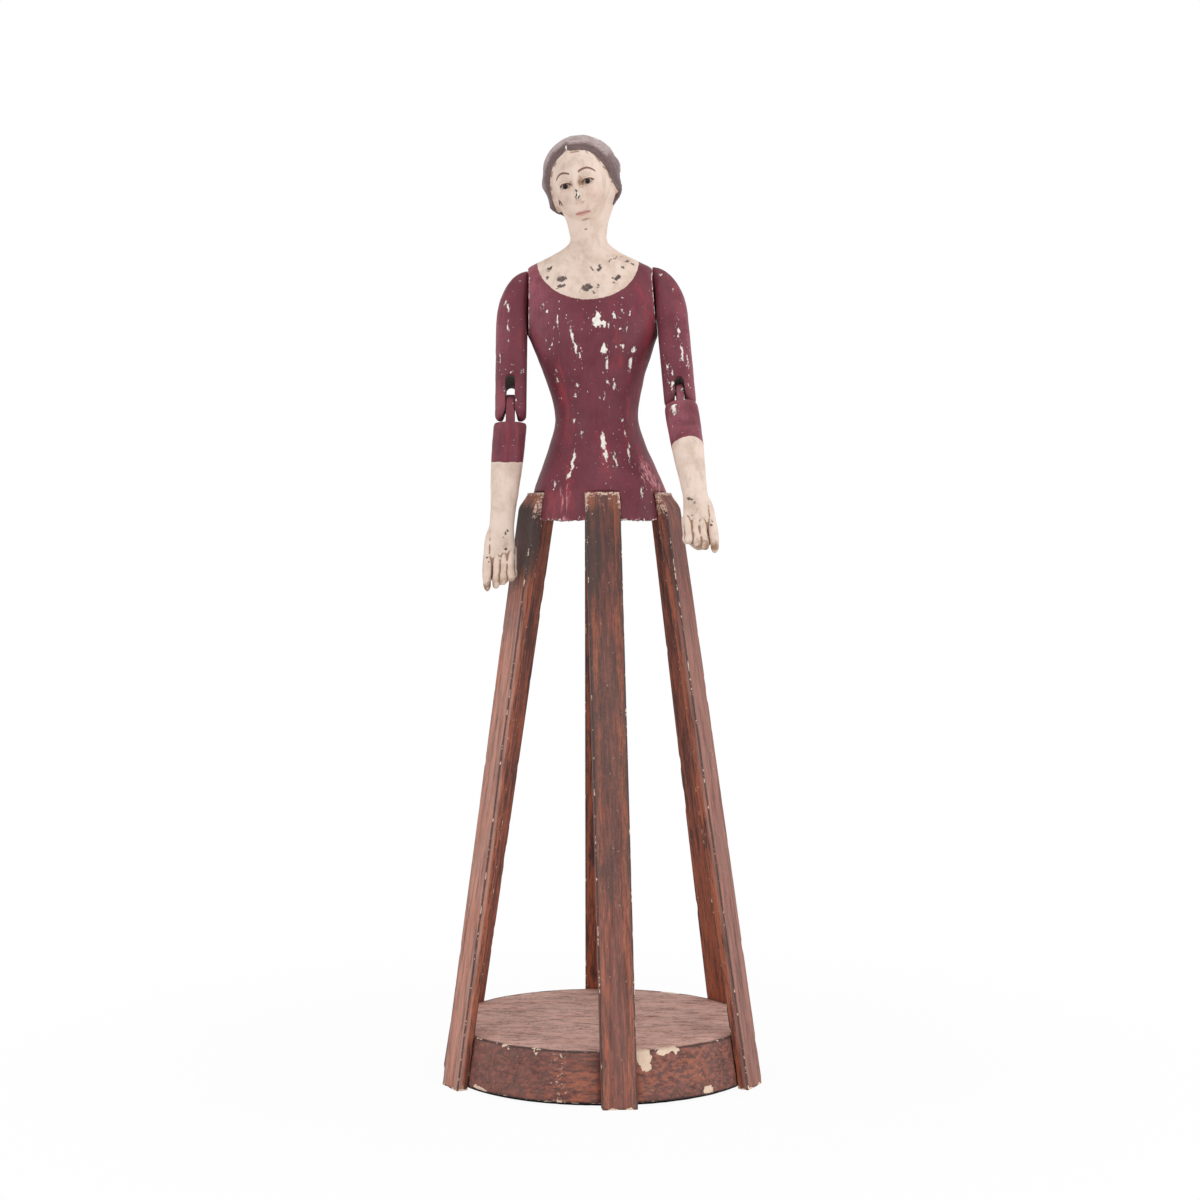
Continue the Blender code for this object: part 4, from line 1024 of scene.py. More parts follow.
def worn_slat(local, index):
    """Distances from a slat's arrises, where its outer face is, and its points once softened and bevelled."""
    x, y, z = local.T
    half_deep = SLAT_THICKNESS / 2
    ends = (SLAT_WIDTH / 2 - np.abs(x), np.minimum(y, SLAT_THICKNESS - y), np.minimum(z, SLAT_TOP - z))
    gaps = np.stack(ends, 1)
    arris = np.sort(gaps, 1)[:, 1]
    into = np.maximum(SLAT_ROUNDING - gaps, 0)
    sharp = np.maximum(np.linalg.norm(into, axis=1), SLAT_ROUNDING)
    pull = into * np.maximum(1 - SLAT_ROUNDING / sharp, 0)[:, None]
    knocks = between(lumps(local * (1, 1, 0.3), 5, 4.0 * index), 0.2, 0.6) * peak(arris, 0.9)
    pull[:, :2] += 0.4 * knocks[:, None]
    away = np.stack((np.sign(x), np.sign(y - half_deep), np.sign(z - SLAT_TOP / 2)), 1)
    x, y, z = (local - pull * away).T
    outer = y > half_deep
    bevel = between(z, SLAT_TOP - SLAT_BEVEL_HEIGHT, SLAT_TOP) * SLAT_BEVEL_DEPTH / SLAT_THICKNESS
    y = y * (1 - bevel) + 0.14 * lumps(local * (1, 1, 0.15), 8, 4.0 * index + 1) * outer
    return arris, outer, np.stack((x, y, z), 1)


def leaned(points, bearings):
    """A slat's points where they stand in the cage, with y outward and x sideways."""
    x, y, z = points.T
    outward, sideways, drift = slat_axes(bearings)
    across = drift * (z - BASE_BOTTOM) + x
    stood = (seat_radius(z) + y)[:, None] * outward + across[:, None] * sideways
    stood[:, 2] = z
    return stood


def slat_marks(name, index, local, points, arris, outer):
    """Soot and pale wear by a slat's top, dust and painted sheen on its outer face and chips at its foot."""
    x, y, z = points.T
    tone, below, aside = SLAT_TONES[name], SLAT_TOP - z, np.abs(x)
    off_inner = y > 1
    bevelled = between(below + 2.5 * lumps(local, 5, 3.3 + index), 11, 5)
    uneven = 0.9 + 0.3 * lumps(local * (1, 1, 0.3), 14, index)
    sooty = between(below, tone.reach, tone.reach / 2) * (1 - 0.8 * bevelled) * uneven * off_inner
    streaked = np.zeros(len(z))
    if name == "front":
        sooty = np.maximum(sooty * between(x, 12, -7), 0.56 * between(z, 95, 150) * off_inner)
        streaked = 0.6 * peak(aside - 7.5, 2.2) - 0.15
    chipped = 4.4 * np.exp(-z / 3.0 - arris / 1.8) * between(lumps(local, 6, index + 0.4), -0.2, 0.4)
    near = peak(np.minimum(SLAT_WIDTH / 2 - aside, below), 1.5)
    return {
        "arris": arris,
        "flake": chipped - 1.3,
        # Dust and painted sheen on the outer face, strongest on the slats facing front left and front right
        "bloom": tone.bloom * between(below, 20, 130) * outer,
        "soot": tone.soot * sooty + 0.14 * lumps(local * (1, 1, 0.3), 12, 2.0 * index + 0.5),
        "pale": 0.95 * between(below, 24, 4) * near * off_inner + 0.2 * bevelled,
        "thin": 0.3 * bevelled + 0.3 * (~outer) + streaked,
        "board": (local * (1, 1, 0.085) + 40.0 * index) * MM,
    }


def build_slats(colours):
    """Six straight laths with bevelled tops, soft nicked arrises and sooty faces lightened with dust and
    painted sheen.
    """
    finish = stained_finish("stained_slats", colours)
    section = slat_section()
    foot_rows, top_rows = [0, 0, 0.4], [SLAT_TOP - 0.4] + [SLAT_TOP] * 4
    heights = np.concatenate((foot_rows, np.linspace(1, SLAT_TOP - 1, 236), top_rows))
    shrink = np.ones(len(heights))
    shrink[0] = 0.5
    shrink[-3:] = (0.8, 0.5, 0.15)
    middle = np.array((0, SLAT_THICKNESS / 2))

    def place(turns, row):
        ring = section[np.rint(turns / math.tau * len(section)).astype(int) % len(section)]
        x, y = ((ring - middle) * shrink[row][:, None] + middle).T
        return np.stack((x, y, heights[row]), 1)

    for index, (name, bearings) in enumerate(SLAT_BEARINGS.items()):
        bm = rolled(len(section), len(heights), place)
        local = points_of(bm)
        arris, outer, points = worn_slat(local, index)
        move_to(bm, leaned(points, bearings))
        marks = slat_marks(name, index, local, points, arris, outer)
        add_piece(f"worn_slat_{name}", bm, finish, [f"slat_{name}"], "figure", marks)


def press_arm_flats(points, up):
    """Presses the arms' flats into the torso; gives its points, where the flats are and their worn edges."""
    high = up > SHOULDER_FLAT_FROM
    flat, worn = np.zeros(len(points), bool), np.zeros(len(points))
    for side, sign in SIDES.items():
        shoulder = joint_frame(f"shoulder_{side}", 0)
        axes = np.array(shoulder.to_3x3())
        local = (points - np.array(shoulder.translation)) @ axes
        out = sign * local[:, 0] + ARM_GAP + ARM_GAP_EDGE * between(np.abs(local[:, 1]), 4, 9)
        pressed = (out > 0) & high
        points = points - np.where(pressed, sign * out, 0)[:, None] * axes[:, 0]
        flat = flat | pressed
        worn = np.maximum(worn, np.where(high, 0.8 * peak(out, 0.8), 0))
    return points, flat, worn


def torso_block():
    """The plain torso, with its points closer together in front than behind."""
    rows_up, top = 270, TORSO_LEVELS[-1][0]
    foot, crown = [0.03, 0.3, 0.6, 0.85, 0.97], [0.95, 0.6, 0.05]
    heights = np.concatenate(([0] * len(foot), np.linspace(0, top, rows_up), [top] * len(crown)))
    shrink = np.concatenate((foot, [0.992], np.ones(rows_up - 1), crown))
    levels = smooth_levels(TORSO_LEVELS, heights)
    crowding = 0.4

    def place(turns, row):
        turns = turns - crowding * np.cos(turns)
        half_width, half_depth, back = levels[row].T
        dx, dy = oval(turns, half_width * shrink[row], half_depth * shrink[row])
        return np.stack((dx - heights[row] * TORSO_LEAN, dy + back, HEM_HEIGHT + heights[row]), 1)

    return rolled(320, len(heights), place)


def build_torso(sizes, colours):
    """The carved bodice and chest, with flats for the arms, a ragged hem and flaked paint."""
    bm = torso_block()
    points = points_of(bm)
    up, top = points[:, 2] - HEM_HEIGHT, TORSO_LEVELS[-1][0]
    swell(bm, sizes.carving / MM * lumps(points, 15, 1.3) * between(up, 0, 3) * between(up, top, top - 8))
    painted = points_of(bm)
    x, y, z = painted.T
    front, shaken = y < 2, frayed(painted)
    turn_x, turn_z = BACK_FLAKES_MIDDLE
    behind = [
        Spot(2 * turn_x - spot.x, 2 * turn_z - spot.z, *spot[2:4], -spot.lean)
        for spot in BODICE_FLAKES[::2]
    ]
    flake = np.where(front, spots(*shaken, BODICE_FLAKES), spots(*shaken, behind))
    bare = np.where(front, spots(*shaken, CHEST_FLAKES), OUTSIDE)
    swell(bm, -sizes.flake_depth / MM * (between(flake, -0.2, 0.6) + between(bare, -0.2, 0.6)))
    points, flat, worn = press_arm_flats(points_of(bm), up)
    below = np.minimum((z - NECKLINE_TOP) / np.where(front, NECKLINE_DROP, NECKLINE_BACK_DROP), 0)
    skin = NECKLINE_DROP * (1 - np.hypot((x - NECKLINE_MIDDLE) / NECKLINE_HALF_WIDTH, below))
    hem = np.exp(-up / 1.3) * (np.hypot(x, y) > 40)
    teeth = 1.6 * np.maximum(lumps(points * (1, 1, 0.05), 1.6, 6.4), 0)
    points[:, 2] -= 0.8 * hem * (teeth + between(lumps(points, 9, 9.7), 0.2, 0.6))
    move_to(bm, press_housings(points))
    # Dust and painted sheen: the flanks at the waist and hips and the tops of the shoulders are lightened
    waist_dust_and_sheen = 0.7 * between(np.abs(x), 26, 44) * between(z, 380, 480)
    shoulder_dust_and_sheen = 0.25 * between(np.abs(x), 30, 42) * between(z, 500, 515)
    hem_worn = 0.8 * peak(up, 1.4) * between(lumps(points, 6, 2.2), -0.5, 0.4)
    marks = {
        "dust": waist_dust_and_sheen + shoulder_dust_and_sheen,
        "scuff": between(spots(x, z, BODICE_SCUFFS), -3, 1.2) * front + 0.8 * np.exp(-up / 1.5),
        "skin": np.where(flat, np.minimum(skin, -2), skin),
        "flake": flake,
        "bare": bare,
        "worn": np.maximum(worn, hem_worn),
        "rub": between(spots(x, z, BODICE_RUBS), -5, 1.5) * front + 0.5 * np.exp(-up / 6),
        "grime_and_shade": 0 * x,
    }
    finish = painted_wood_finish("painted_torso", colours)
    add_piece("carved_torso", bm, finish, ["torso"], "figure", marks)


def head_frame():
    turn = turned(HEAD_TILT, "Y") @ turned(HEAD_TURN, "Z") @ turned(HEAD_NOD, "X")
    return Matrix.Translation(HEAD_PLACE) @ turn


def hair_reach(points):
    """How far points are outside the face's window in the hair: 0 at the hairline, 1 at its width away."""
    x, _, z = points.T
    x = x - HAIRLINE_MIDDLE
    up = (z - HAIRLINE_TOP + HAIRLINE_HALF_HEIGHT) / HAIRLINE_HALF_HEIGHT
    parting = 0.05 * peak(x + 3.4, 2.2) * between(z, 10, 20)
    power = HAIRLINE_POWER
    ring = (np.abs(x / HAIRLINE_HALF_WIDTH) ** power + np.abs(up) ** power) ** (1 / power)
    return ring - 1 - parting


def brush(points, centre, radii, move, mirror=False):
    """Moves points near a centre, as a sculptor's brush does; mirror repeats the stroke on the other side."""
    for sign in (1, -1) if mirror else (1,):
        offset = (points - np.array(centre) * (sign, 1, 1)) / np.array(radii)
        touch = np.exp(-(offset**2).sum(1))
        points = points + touch[:, None] * np.array(move) * (sign, 1, 1)
    return points


def sculpt_face(points):
    """Sockets, nose, mouth, cheeks and chin in strokes over a plain egg, then the lids' openings."""
    # Centre, radii and move of each stroke, and whether the other side gets it too
    strokes = [
        ((0.4, -24, 3.5), (2.1, 7, 6), (0, -2.3, 0), False),
        ((0.3, -24, -4), (2.0, 7, 5), (0, -3.3, 0), False),
        ((0.2, -25, -10.2), (2.4, 7, 2.8), (0, -4.4, 0.2), False),
        ((2.6, -24, -11.4), (1.5, 5, 1.5), (0, -1.7, 0), True),
        ((0, -23.5, -14.6), (4, 5, 1.8), (0, 0.8, 0), False),
        ((11.5, -18, -8.5), (6.5, 7, 6.5), (0.2, -1.2, 0), True),
        ((0, -23, MOUTH_Z + 0.2), (6.4, 6, 4.6), (0, -1.3, 0), False),
        ((1.5, -24, MOUTH_Z + 1.2), (2.4, 5, 1.0), (0, -0.9, 0), True),
        ((0, -24.5, MOUTH_Z), (4.8, 5, 0.55), (0, 1.0, 0), False),
        ((0, -24, MOUTH_Z - 1.6), (3.0, 5, 1.2), (0, -1.1, 0), False),
        ((0, -23, MOUTH_Z - 4.4), (4.5, 5, 1.5), (0, 0.9, 0), False),
        ((0, -20.5, -27), (5, 6, 3.4), (0, -1.3, 0), False),
    ]
    for centre, radii, move, mirror in strokes:
        points = brush(points, centre, radii, move, mirror)
    for sign in SIDES.values():
        eye_x = EYES_MIDDLE + sign * EYE_X
        points = brush(points, (eye_x, -21.5, EYE_Z + 0.5), (5.6, 7, 4.6), (0, 2.2, 0))
        points = brush(points, (eye_x, -22, EYE_Z + 7.6), (7, 6, 2.8), (0, -0.6, 0))
    front, open_share = points[:, 1] < -8, 0.72
    for sign in SIDES.values():
        dx, dz = points[:, 0] - EYES_MIDDLE - sign * EYE_X, points[:, 2] - EYE_Z
        across = dx**2 + dz**2
        lid = EYE_Y - np.sqrt(np.maximum(LID_RADIUS**2 - across, 0))
        points[:, 1] = np.where(front & (across < LID_RADIUS**2), np.minimum(points[:, 1], lid), points[:, 1])
        ring = np.hypot(dx / EYE_HALF_WIDTH, dz / EYE_HALF_HEIGHT)
        rim = front & (ring > open_share) & (ring < 1.0)
        spread = np.where(rim, 1 / np.maximum(ring, 0.1) - 1, 0)
        points[:, 0] += dx * spread
        points[:, 2] += dz * spread
        points[:, 1] = np.where(front & (ring <= open_share), EYE_Y - 0.6, points[:, 1])
    return points


def skull_form():
    """An egg that narrows and comes forward towards the chin."""
    skull = ball(SKULL, (EYES_MIDDLE, 0, 0), 96)
    points = points_of(skull)
    fall = np.maximum(0, -points[:, 2] / SKULL[2])
    points[:, 0] -= JAW_NARROWING * fall**1.5 * (points[:, 0] - EYES_MIDDLE)
    points[:, 1] -= JAW_FORWARD * SKULL[1] * fall**2
    move_to(skull, points)
    return skull


def hair_form():
    """A cap of hair, sunk behind the face in its window."""
    hair = ball(HAIR, (0, HAIR_BACK, HAIR_RISE), 160)
    points = points_of(hair)
    window = between(hair_reach(points), 0.02, -0.06) * (points[:, 1] < 2)
    move_to(hair, points * (1 - 0.3 * window)[:, None])
    return hair


def neck_form(place):
    """The neck, from inside the torso's neck up into the skull, wider towards the jaw."""
    back = place.inverted()
    foot = np.array(back @ (Vector(NECK_FOOT) - Vector((0, 0, NECK_OVERLAP))))
    rise = np.array((0, 0, -SKULL[2] / 2)) - foot
    level = np.array(back.to_3x3())
    rows = 40
    radii = NECK_RADIUS * smooth_levels(NECK_FLARES, np.linspace(0, 1, rows))[:, 0]

    def place_ring(turns, row):
        ring = np.stack((np.cos(turns), np.sin(turns), 0 * turns), 1) * radii[row][:, None]
        return foot + rise * (row / (rows - 1))[:, None] + ring @ level.T

    return rolled(64, rows, place_ring)


def hair_cover(points):
    """Where the hair lies, above 0, and from 0 to 1 where its crown is."""
    x, y, z = points.T
    reach = hair_reach(points)
    low = between(z - 0.12 * x, -26, -22)
    hairy = (reach + between(y, 0, 4) * np.maximum(0.15 - reach, 0)) * low - 0.3 * (1 - low)
    return hairy, between(hairy, 0.06, 0.2) * between(z, 8, 18)


def hair_carving(points, hairy, crown, strand_depth):
    """How far the hair's strands, side waves and front roll stand out."""
    x, y, z = points.T
    reach = hair_reach(points)
    around = np.degrees(np.arctan2(x, z + BUN_DROP))
    lines = np.where(y < 6, 60 * reach, 1.1 * around)
    flow = lumps(points, 14, 2.6)
    strands = np.sin(0.9 * lines + 2.2 * flow) + 0.6 * np.sin(2.1 * lines + 3 * flow)
    waves = 0.8 * np.sin(z / 2.8 + 1.2 * flow) * between(np.abs(x), 12, 21) * between(z, 20, 8)
    roll = 0.8 * np.sin(math.pi * np.clip(reach / 0.4, 0, 1)) * between(z, 4, 16) + 0.5 * crown
    return between(hairy, 0, 0.08) * (strand_depth * strands + waves + roll)


def build_head(sizes, colours):
    """Face, hair with its bun, and the upper neck."""
    place = head_frame()
    bun = ball((BUN_RADIUS, BUN_RADIUS * BUN_FLATNESS, BUN_RADIUS), (0, BUN_BACK, -BUN_DROP), 48)
    bm = carved(joined([skull_form(), hair_form(), bun, neck_form(place)]), [], SKIN_VOXEL, [])
    for _ in range(2):
        soften(bm, bm.verts, 0.5)
    points = points_of(bm)
    hairy, crown = hair_cover(points)
    # Painted sheen, with some dust, on the crown, lighter towards the figure's left
    dust_and_sheen = crown * (0.7 + 0.3 * between(points[:, 0], -14, 0))
    swell(bm, hair_carving(points, hairy, crown, sizes.strand_depth / MM) + 0.1 * lumps(points, 9, 4.4))
    puffed = points_of(bm)
    for centre, radii, move in HAIR_PUFFS:
        puffed = brush(puffed, centre, radii, move)
    move_to(bm, sculpt_face(puffed))
    for _ in range(2):
        nose = [v for v in bm.verts if v.co.y < -12 and abs(v.co.z + 8) < 22 and abs(v.co.x) < 3.6]
        soften(bm, nose, 0.3)
    marks = {
        "hair": np.clip(hairy * 20, -4, 4),
        # The crown mark is painted sheen with some dust: the top is lightened, and the hair away from the
        # hairline a little, which leaves the roll by the face darker as painted shade
        "crown": np.maximum(dust_and_sheen, 0.5 * between(hairy, 0.05, 0.3)),
        **face_marks(points_of(bm), hairy),
    }
    finish = head_finish("painted_head", colours)
    add_piece("carved_head", bm, finish, ["head"], "figure", marks, place)


def face_marks(points, hairy):
    """Painted lines, grime and painted shade, lips, blush and flakes of the face."""
    x, y, z = points.T
    front, aside = y < -8, np.abs(x)
    line, grime_and_shade = np.zeros(len(x)), np.zeros(len(x))
    for sign in SIDES.values():
        dx, dz = sign * (x - EYES_MIDDLE) - EYE_X, z - EYE_Z
        along = dx - BROW_MIDDLE
        arch = BROW_HEIGHT - 0.058 * along**2 - 0.07 * np.maximum(along, 0) ** 2
        ends = np.maximum(np.abs(along) - BROW_HALF_WIDTH, 0)
        brow = 1.4 - np.hypot(dz - arch, 2 * ends) / 0.7
        ring = np.hypot(dx / EYE_HALF_WIDTH, dz / EYE_HALF_HEIGHT)
        lash = 1.2 * peak(ring - 1.08, 0.2) * between(dz, -0.4, 0.3)
        # crease darkens the fold above each lid as painted shade, and under darkens a band just below the
        # lower lid; corner is grime at the inner corner
        crease = 0.5 * peak(ring - 1.9, 0.12) * between(dz, 1.2, 2.2)
        corner = peak(dx + 4.4, 1.6) * peak(dz - 0.4, 3.4) * (1.4 if sign > 0 else 0.8)
        corner = corner * between(lumps(points, 2.2, 6.4 + sign), -1.0, 0.3)
        under = 0.4 * peak(ring - 1.25, 0.2) * between(dz, 0.2, -0.6)
        line = np.maximum.reduce([line, brow, lash])
        grime_and_shade = np.maximum.reduce([grime_and_shade, crease, corner, under])
    mouth = peak(z - MOUTH_Z + 0.004 * x**2, 0.5) * between(aside, 5.6, 4.4)
    # Painted shade: under the lower lip, in the nostrils and down the nose's side towards the figure's left;
    # fringe darkens a line along the hairline
    under_lip_shadow = 0.8 * peak(x, 3.2) * peak(z - MOUTH_Z + 4.4, 0.8)
    nostril_shade = 0.6 * peak(aside - 2.2, 1.0) * peak(z + 13.0, 0.6)
    nose_side_shade = 0.4 * peak(x - 3.3, 1.0) * peak(z + 8.5, 3.2)
    fringe = 0.85 * peak(hairy + 0.02, 0.03) * between(lumps(points, 5, 7.7), -0.3, 0.4)
    half = np.sqrt(np.maximum(1 - (x / MOUTH_HALF_WIDTH) ** 2, 0))
    bow = 1.6 * half - 0.7 * peak(x, 1.1)
    lips = np.where(z > MOUTH_Z, bow - (z - MOUTH_Z), 1.8 * half - (MOUTH_Z - z))
    return {
        "line": np.where(front, np.maximum(line, 0.62 * mouth), 0),
        "grime_and_shade": np.where(front, np.maximum.reduce([grime_and_shade, under_lip_shadow, nostril_shade, nose_side_shade, fringe]), 0),
        "lips": np.where(front & (aside < MOUTH_HALF_WIDTH), lips, -1.0),
        "blush": np.where(front, peak(aside - 11.5, 5) * peak(z + 9, 5), 0),
        "bare": np.where(front, spots(x, z, FACE_CHIPS), OUTSIDE),
        "flake": np.where(y < 5, spots(x, z, FACE_FLAKES), OUTSIDE),
    }


def build_eyes(colours):
    """Two dark glass eyes behind the lids."""
    finish = glass_eye_finish("glass_eyes", colours)
    for side, sign in SIDES.items():
        bm = bmesh.new()
        bmesh.ops.create_uvsphere(bm, u_segments=64, v_segments=48, radius=EYE_RADIUS)
        points = points_of(bm)
        gaze = np.where(points[:, 1] < 0, np.hypot(points[:, 0], points[:, 2] - GAZE_UP), 5.0)
        points[:, 1] -= CORNEA_BULGE * np.exp(-((gaze / CORNEA_RADIUS) ** 4))
        move_to(bm, points + np.array((EYES_MIDDLE + sign * EYE_X, EYE_Y, EYE_Z)))
        node = f"glass_eye_{side}"
        marks = {"gaze": gaze}
        add_piece(f"polished_eye_{side}", bm, finish, [node], "figure", marks, head_frame())


def shave(points, middle, planes):
    """Cuts flats with a knife: each plane has a direction across the arm and a distance from its middle."""
    for angle, distance in planes:
        facing = np.array((math.cos(math.radians(angle)), math.sin(math.radians(angle)), 0))
        proud = (points - middle) @ facing - distance
        points = points - np.where(proud > 0, 0.8 * proud, 0)[:, None] * facing
    return points


def mirrored(bm, sign):
    bmesh.ops.scale(bm, vec=(sign, 1, 1), verts=bm.verts)
    if sign < 0:
        bmesh.ops.reverse_faces(bm, faces=bm.faces)
    return bm


def sleeve_flakes(bm, place, front, side):
    """How far an arm's points are inside the flakes on its front."""
    world = points_of(bm) @ np.array(place.to_3x3()).T + np.array(place.translation)
    return np.where(front, spots(*frayed(world), ARM_FLAKES[side]) + 0.15, OUTSIDE)


def upper_arm_block():
    """A round-capped arm with a flat inner face, shaved in facets along its length."""
    cap_start = UPPER_ARM_TOP - SHOULDER_CAP
    cap, end = np.radians(np.linspace(2, 88, 44)), np.radians(np.linspace(0, 88, 20))
    shaft = np.linspace(0, 1, 70)
    levels = (
        cap_start + SHOULDER_CAP * np.cos(cap),
        cap_start - shaft * (UPPER_ARM_LENGTH + cap_start),
        -UPPER_ARM_LENGTH - FORK_BELOW_PIN * np.sin(end),
    )
    depths = (
        UPPER_ARM_HALF_DEPTH * (1 - 0.55 * (1 - np.sin(cap))),
        UPPER_ARM_HALF_DEPTH + (ELBOW_HALF_DEPTH - UPPER_ARM_HALF_DEPTH) * shaft,
        ELBOW_HALF_DEPTH * np.cos(end),
    )
    widths = (UPPER_ARM_WIDTH * np.sin(cap), np.full(len(shaft) + len(end), UPPER_ARM_WIDTH))
    z, depth, width = np.concatenate(levels), np.concatenate(depths), np.concatenate(widths)

    def place(turns, row):
        half = (width[row] + INNER_FLAT) / 2
        dx, dy = oval(turns, half, depth[row], 2.6)
        return np.stack((np.maximum(dx + half - INNER_FLAT, 0), dy, z[row]), 1)

    bm = rolled(110, len(z), place)
    points = shave(points_of(bm), np.array((UPPER_ARM_WIDTH / 2, 0, 0)), UPPER_ARM_FACETS)
    points[:, 0] = np.maximum(points[:, 0], 0)
    move_to(bm, points)
    return bm


def upper_arm_cuts(front, back):
    """The fork's slot, with its ceiling at a front and a back height, and the peg's and pin's bores."""
    middle, depth, pin = UPPER_ARM_WIDTH / 2, UPPER_ARM_HALF_DEPTH, -UPPER_ARM_LENGTH
    foot = pin - FORK_BELOW_PIN - 4
    slot = block((middle - SLOT_HALF_WIDTH, -depth, foot), (middle + SLOT_HALF_WIDTH, depth, front))
    for vert in slot.verts:
        if vert.co.y > 0 and vert.co.z > foot + 1:
            vert.co.z = back
    slope = (back - front) / (2 * depth)
    ceiling = [(middle, y, (front + back) / 2 + slope * y) for y in (-20, 20)]
    return [
        slot,
        rod(*ceiling, SLOT_HALF_WIDTH),
        rod((-2, 0, 0), (PEG_BORE_DEPTH, 0, 0), PEG_BORE),
        rod((-3, 0, pin), (UPPER_ARM_WIDTH + 3, 0, pin), PIN_BORE),
    ]


def build_upper_arms(sizes, colours):
    """Round shoulder caps, flat inner faces and forked elbows."""
    finish = painted_wood_finish("painted_sleeves", colours)
    middle = UPPER_ARM_WIDTH / 2
    for side, sign in SIDES.items():
        front, back = (top - UPPER_ARM_LENGTH - SLOT_HALF_WIDTH for top in SLOT_TOP[side])
        bm = carved(upper_arm_block(), upper_arm_cuts(front, back), SKIN_VOXEL, [])
        soften(bm, bm.verts, 0.5)
        local = points_of(bm)
        aside = local[:, 0] - middle
        cheek = np.abs(np.abs(aside) - (middle + SLOT_HALF_WIDTH) / 2) / ((middle - SLOT_HALF_WIDTH) / 2)
        low = np.minimum(local[:, 2] + UPPER_ARM_LENGTH, 0)
        local[:, 2] -= low * 0.3 * np.clip(cheek, 0, 1) ** 3
        from_slot = np.maximum(np.abs(aside) - SLOT_HALF_WIDTH, 0)
        mouth = between(-low, 2, FORK_BELOW_PIN) * np.exp(-from_slot / 1.5)
        local[:, 0] += np.sign(aside) * MOUTH_FLARE[side] * mouth
        move_to(bm, local)
        x, y, z = local.T
        swell(bm, (sizes.carving / MM * lumps(local, 12, 3 + sign) - 0.1) * between(x, 0.2, 1.5))
        worn = 0.85 * between(-hollows(bm), 0.1, 0.3) * between(np.abs(y), 5, 8)
        inside = (np.abs(aside) < SLOT_HALF_WIDTH + 0.5) & (z < front + 3) & (np.abs(y) < 8.5)
        arm = joint_frame(f"shoulder_{side}", SHOULDER_REST[side])
        bm = mirrored(bm, sign)
        marks = {
            # Dust and painted sheen lighten the arm's outer side
            "dust": 0.6 * between(x, middle - 2, UPPER_ARM_WIDTH),
            "skin": np.full(len(x), -5.0),
            "flake": sleeve_flakes(bm, arm, y < 3, side),
            "bare": np.where(inside | (x < 0.15), 2.0, OUTSIDE),
            "worn": worn,
            "rub": 0.8 * between(lumps(local * (1, 1, 0.35), 14, 5 + sign), -0.1, 0.5),
            "grime_and_shade": 0 * x,
        }
        body = f"upper_arm_{side}"
        add_piece(f"carved_upper_arm_{side}", bm, finish, [body], body, marks, arm)


def digit(points, radii):
    """A finger or thumb along a smooth path through points, with its tip and its root rounded off."""
    rows, tip_share, root_share = 40, 0.1, 0.15
    table = [(index, *point, radius) for index, (point, radius) in enumerate(zip(points, radii))]
    share = np.linspace(0, len(points) - 1, rows)
    path = smooth_levels(table, share)
    heading = np.gradient(path[:, :3], axis=0)
    heading /= np.linalg.norm(heading, axis=1)[:, None]
    across = np.array((1, 0, 0)) - heading * heading[:, :1]
    across /= np.linalg.norm(across, axis=1)[:, None]
    deep = np.cross(heading, across)
    left = (len(points) - 1 - share) / (len(points) - 1)
    tip = np.sqrt(np.clip(1 - (1 - np.clip(left / tip_share, 0, 1)) ** 2, 0.002, 1))
    root = np.clip(share / root_share, 0.05, 1)
    radius = path[:, 3] * tip * root

    def place(turns, row):
        ring = np.cos(turns)[:, None] * across[row] + np.sin(turns)[:, None] * deep[row]
        return path[row, :3] + radius[row][:, None] * ring

    return rolled(28, rows, place)


def hand_forms(middle):
    """The web of the hand, four curled fingers and the thumb, about the hand's middle line."""
    forms = [ball(WEB_RADII, np.array(WEB_PLACE) + (middle, 0, 0), 32)]
    for finger in FINGERS:
        x, y = middle + finger.across, finger.behind
        tip = (x + finger.lean, y - 1.5 - finger.curl, -KNUCKLES - finger.length)
        bent = (x + 0.4 * finger.lean, y - 1.4 - 0.3 * finger.curl, -KNUCKLES - 0.76 * finger.length)
        half_way = (x, y - 0.9, -KNUCKLES - 0.5 * finger.length)
        path = [(x, y + 1.2, -KNUCKLES + 7), (x, y - 0.2, -KNUCKLES), half_way, bent, tip]
        forms.append(digit(np.array(path), FINGER_RADII))
    forms.append(digit(np.array(THUMB_PATH) + (middle, 0, 0), THUMB_RADII))
    return forms


def forearm_block(splay):
    """The forearm from the elbow to the knuckles, splayed outward and shaved in facets above the wrist."""
    downs = np.linspace(FOREARM_TOP, FOREARM_LEVELS[-1][0], 90)
    sections = smooth_levels(FOREARM_LEVELS, downs)
    sections[:3] *= np.array([0.94, 0.98, 0.995])[:, None]

    def place(turns, row):
        dx, dy = oval(turns, sections[row, 0], sections[row, 1], 2.3)
        return np.stack((dx + (downs[row] - FOREARM_TOP) * splay, dy, -downs[row]), 1)

    arm = rolled(96, len(downs), place)
    points = points_of(arm)
    z = points[:, 2]
    middle = np.stack(((-z - FOREARM_TOP) * splay, 0 * z, 0 * z), 1)
    facets = shave(points, middle, FOREARM_FACETS)
    move_to(arm, np.where(points[:, 2:] > -70, facets, points))
    return arm


def tongue_forms(reach):
    """The round end and the shank of the tongue in the elbow."""
    half = TONGUE_HALF_WIDTH
    shank = block((-half, -reach, -FOREARM_TOP - 2), (half, reach, 0))
    return [rod((-half, 0, 0), (half, 0, 0), reach, 48), shank]


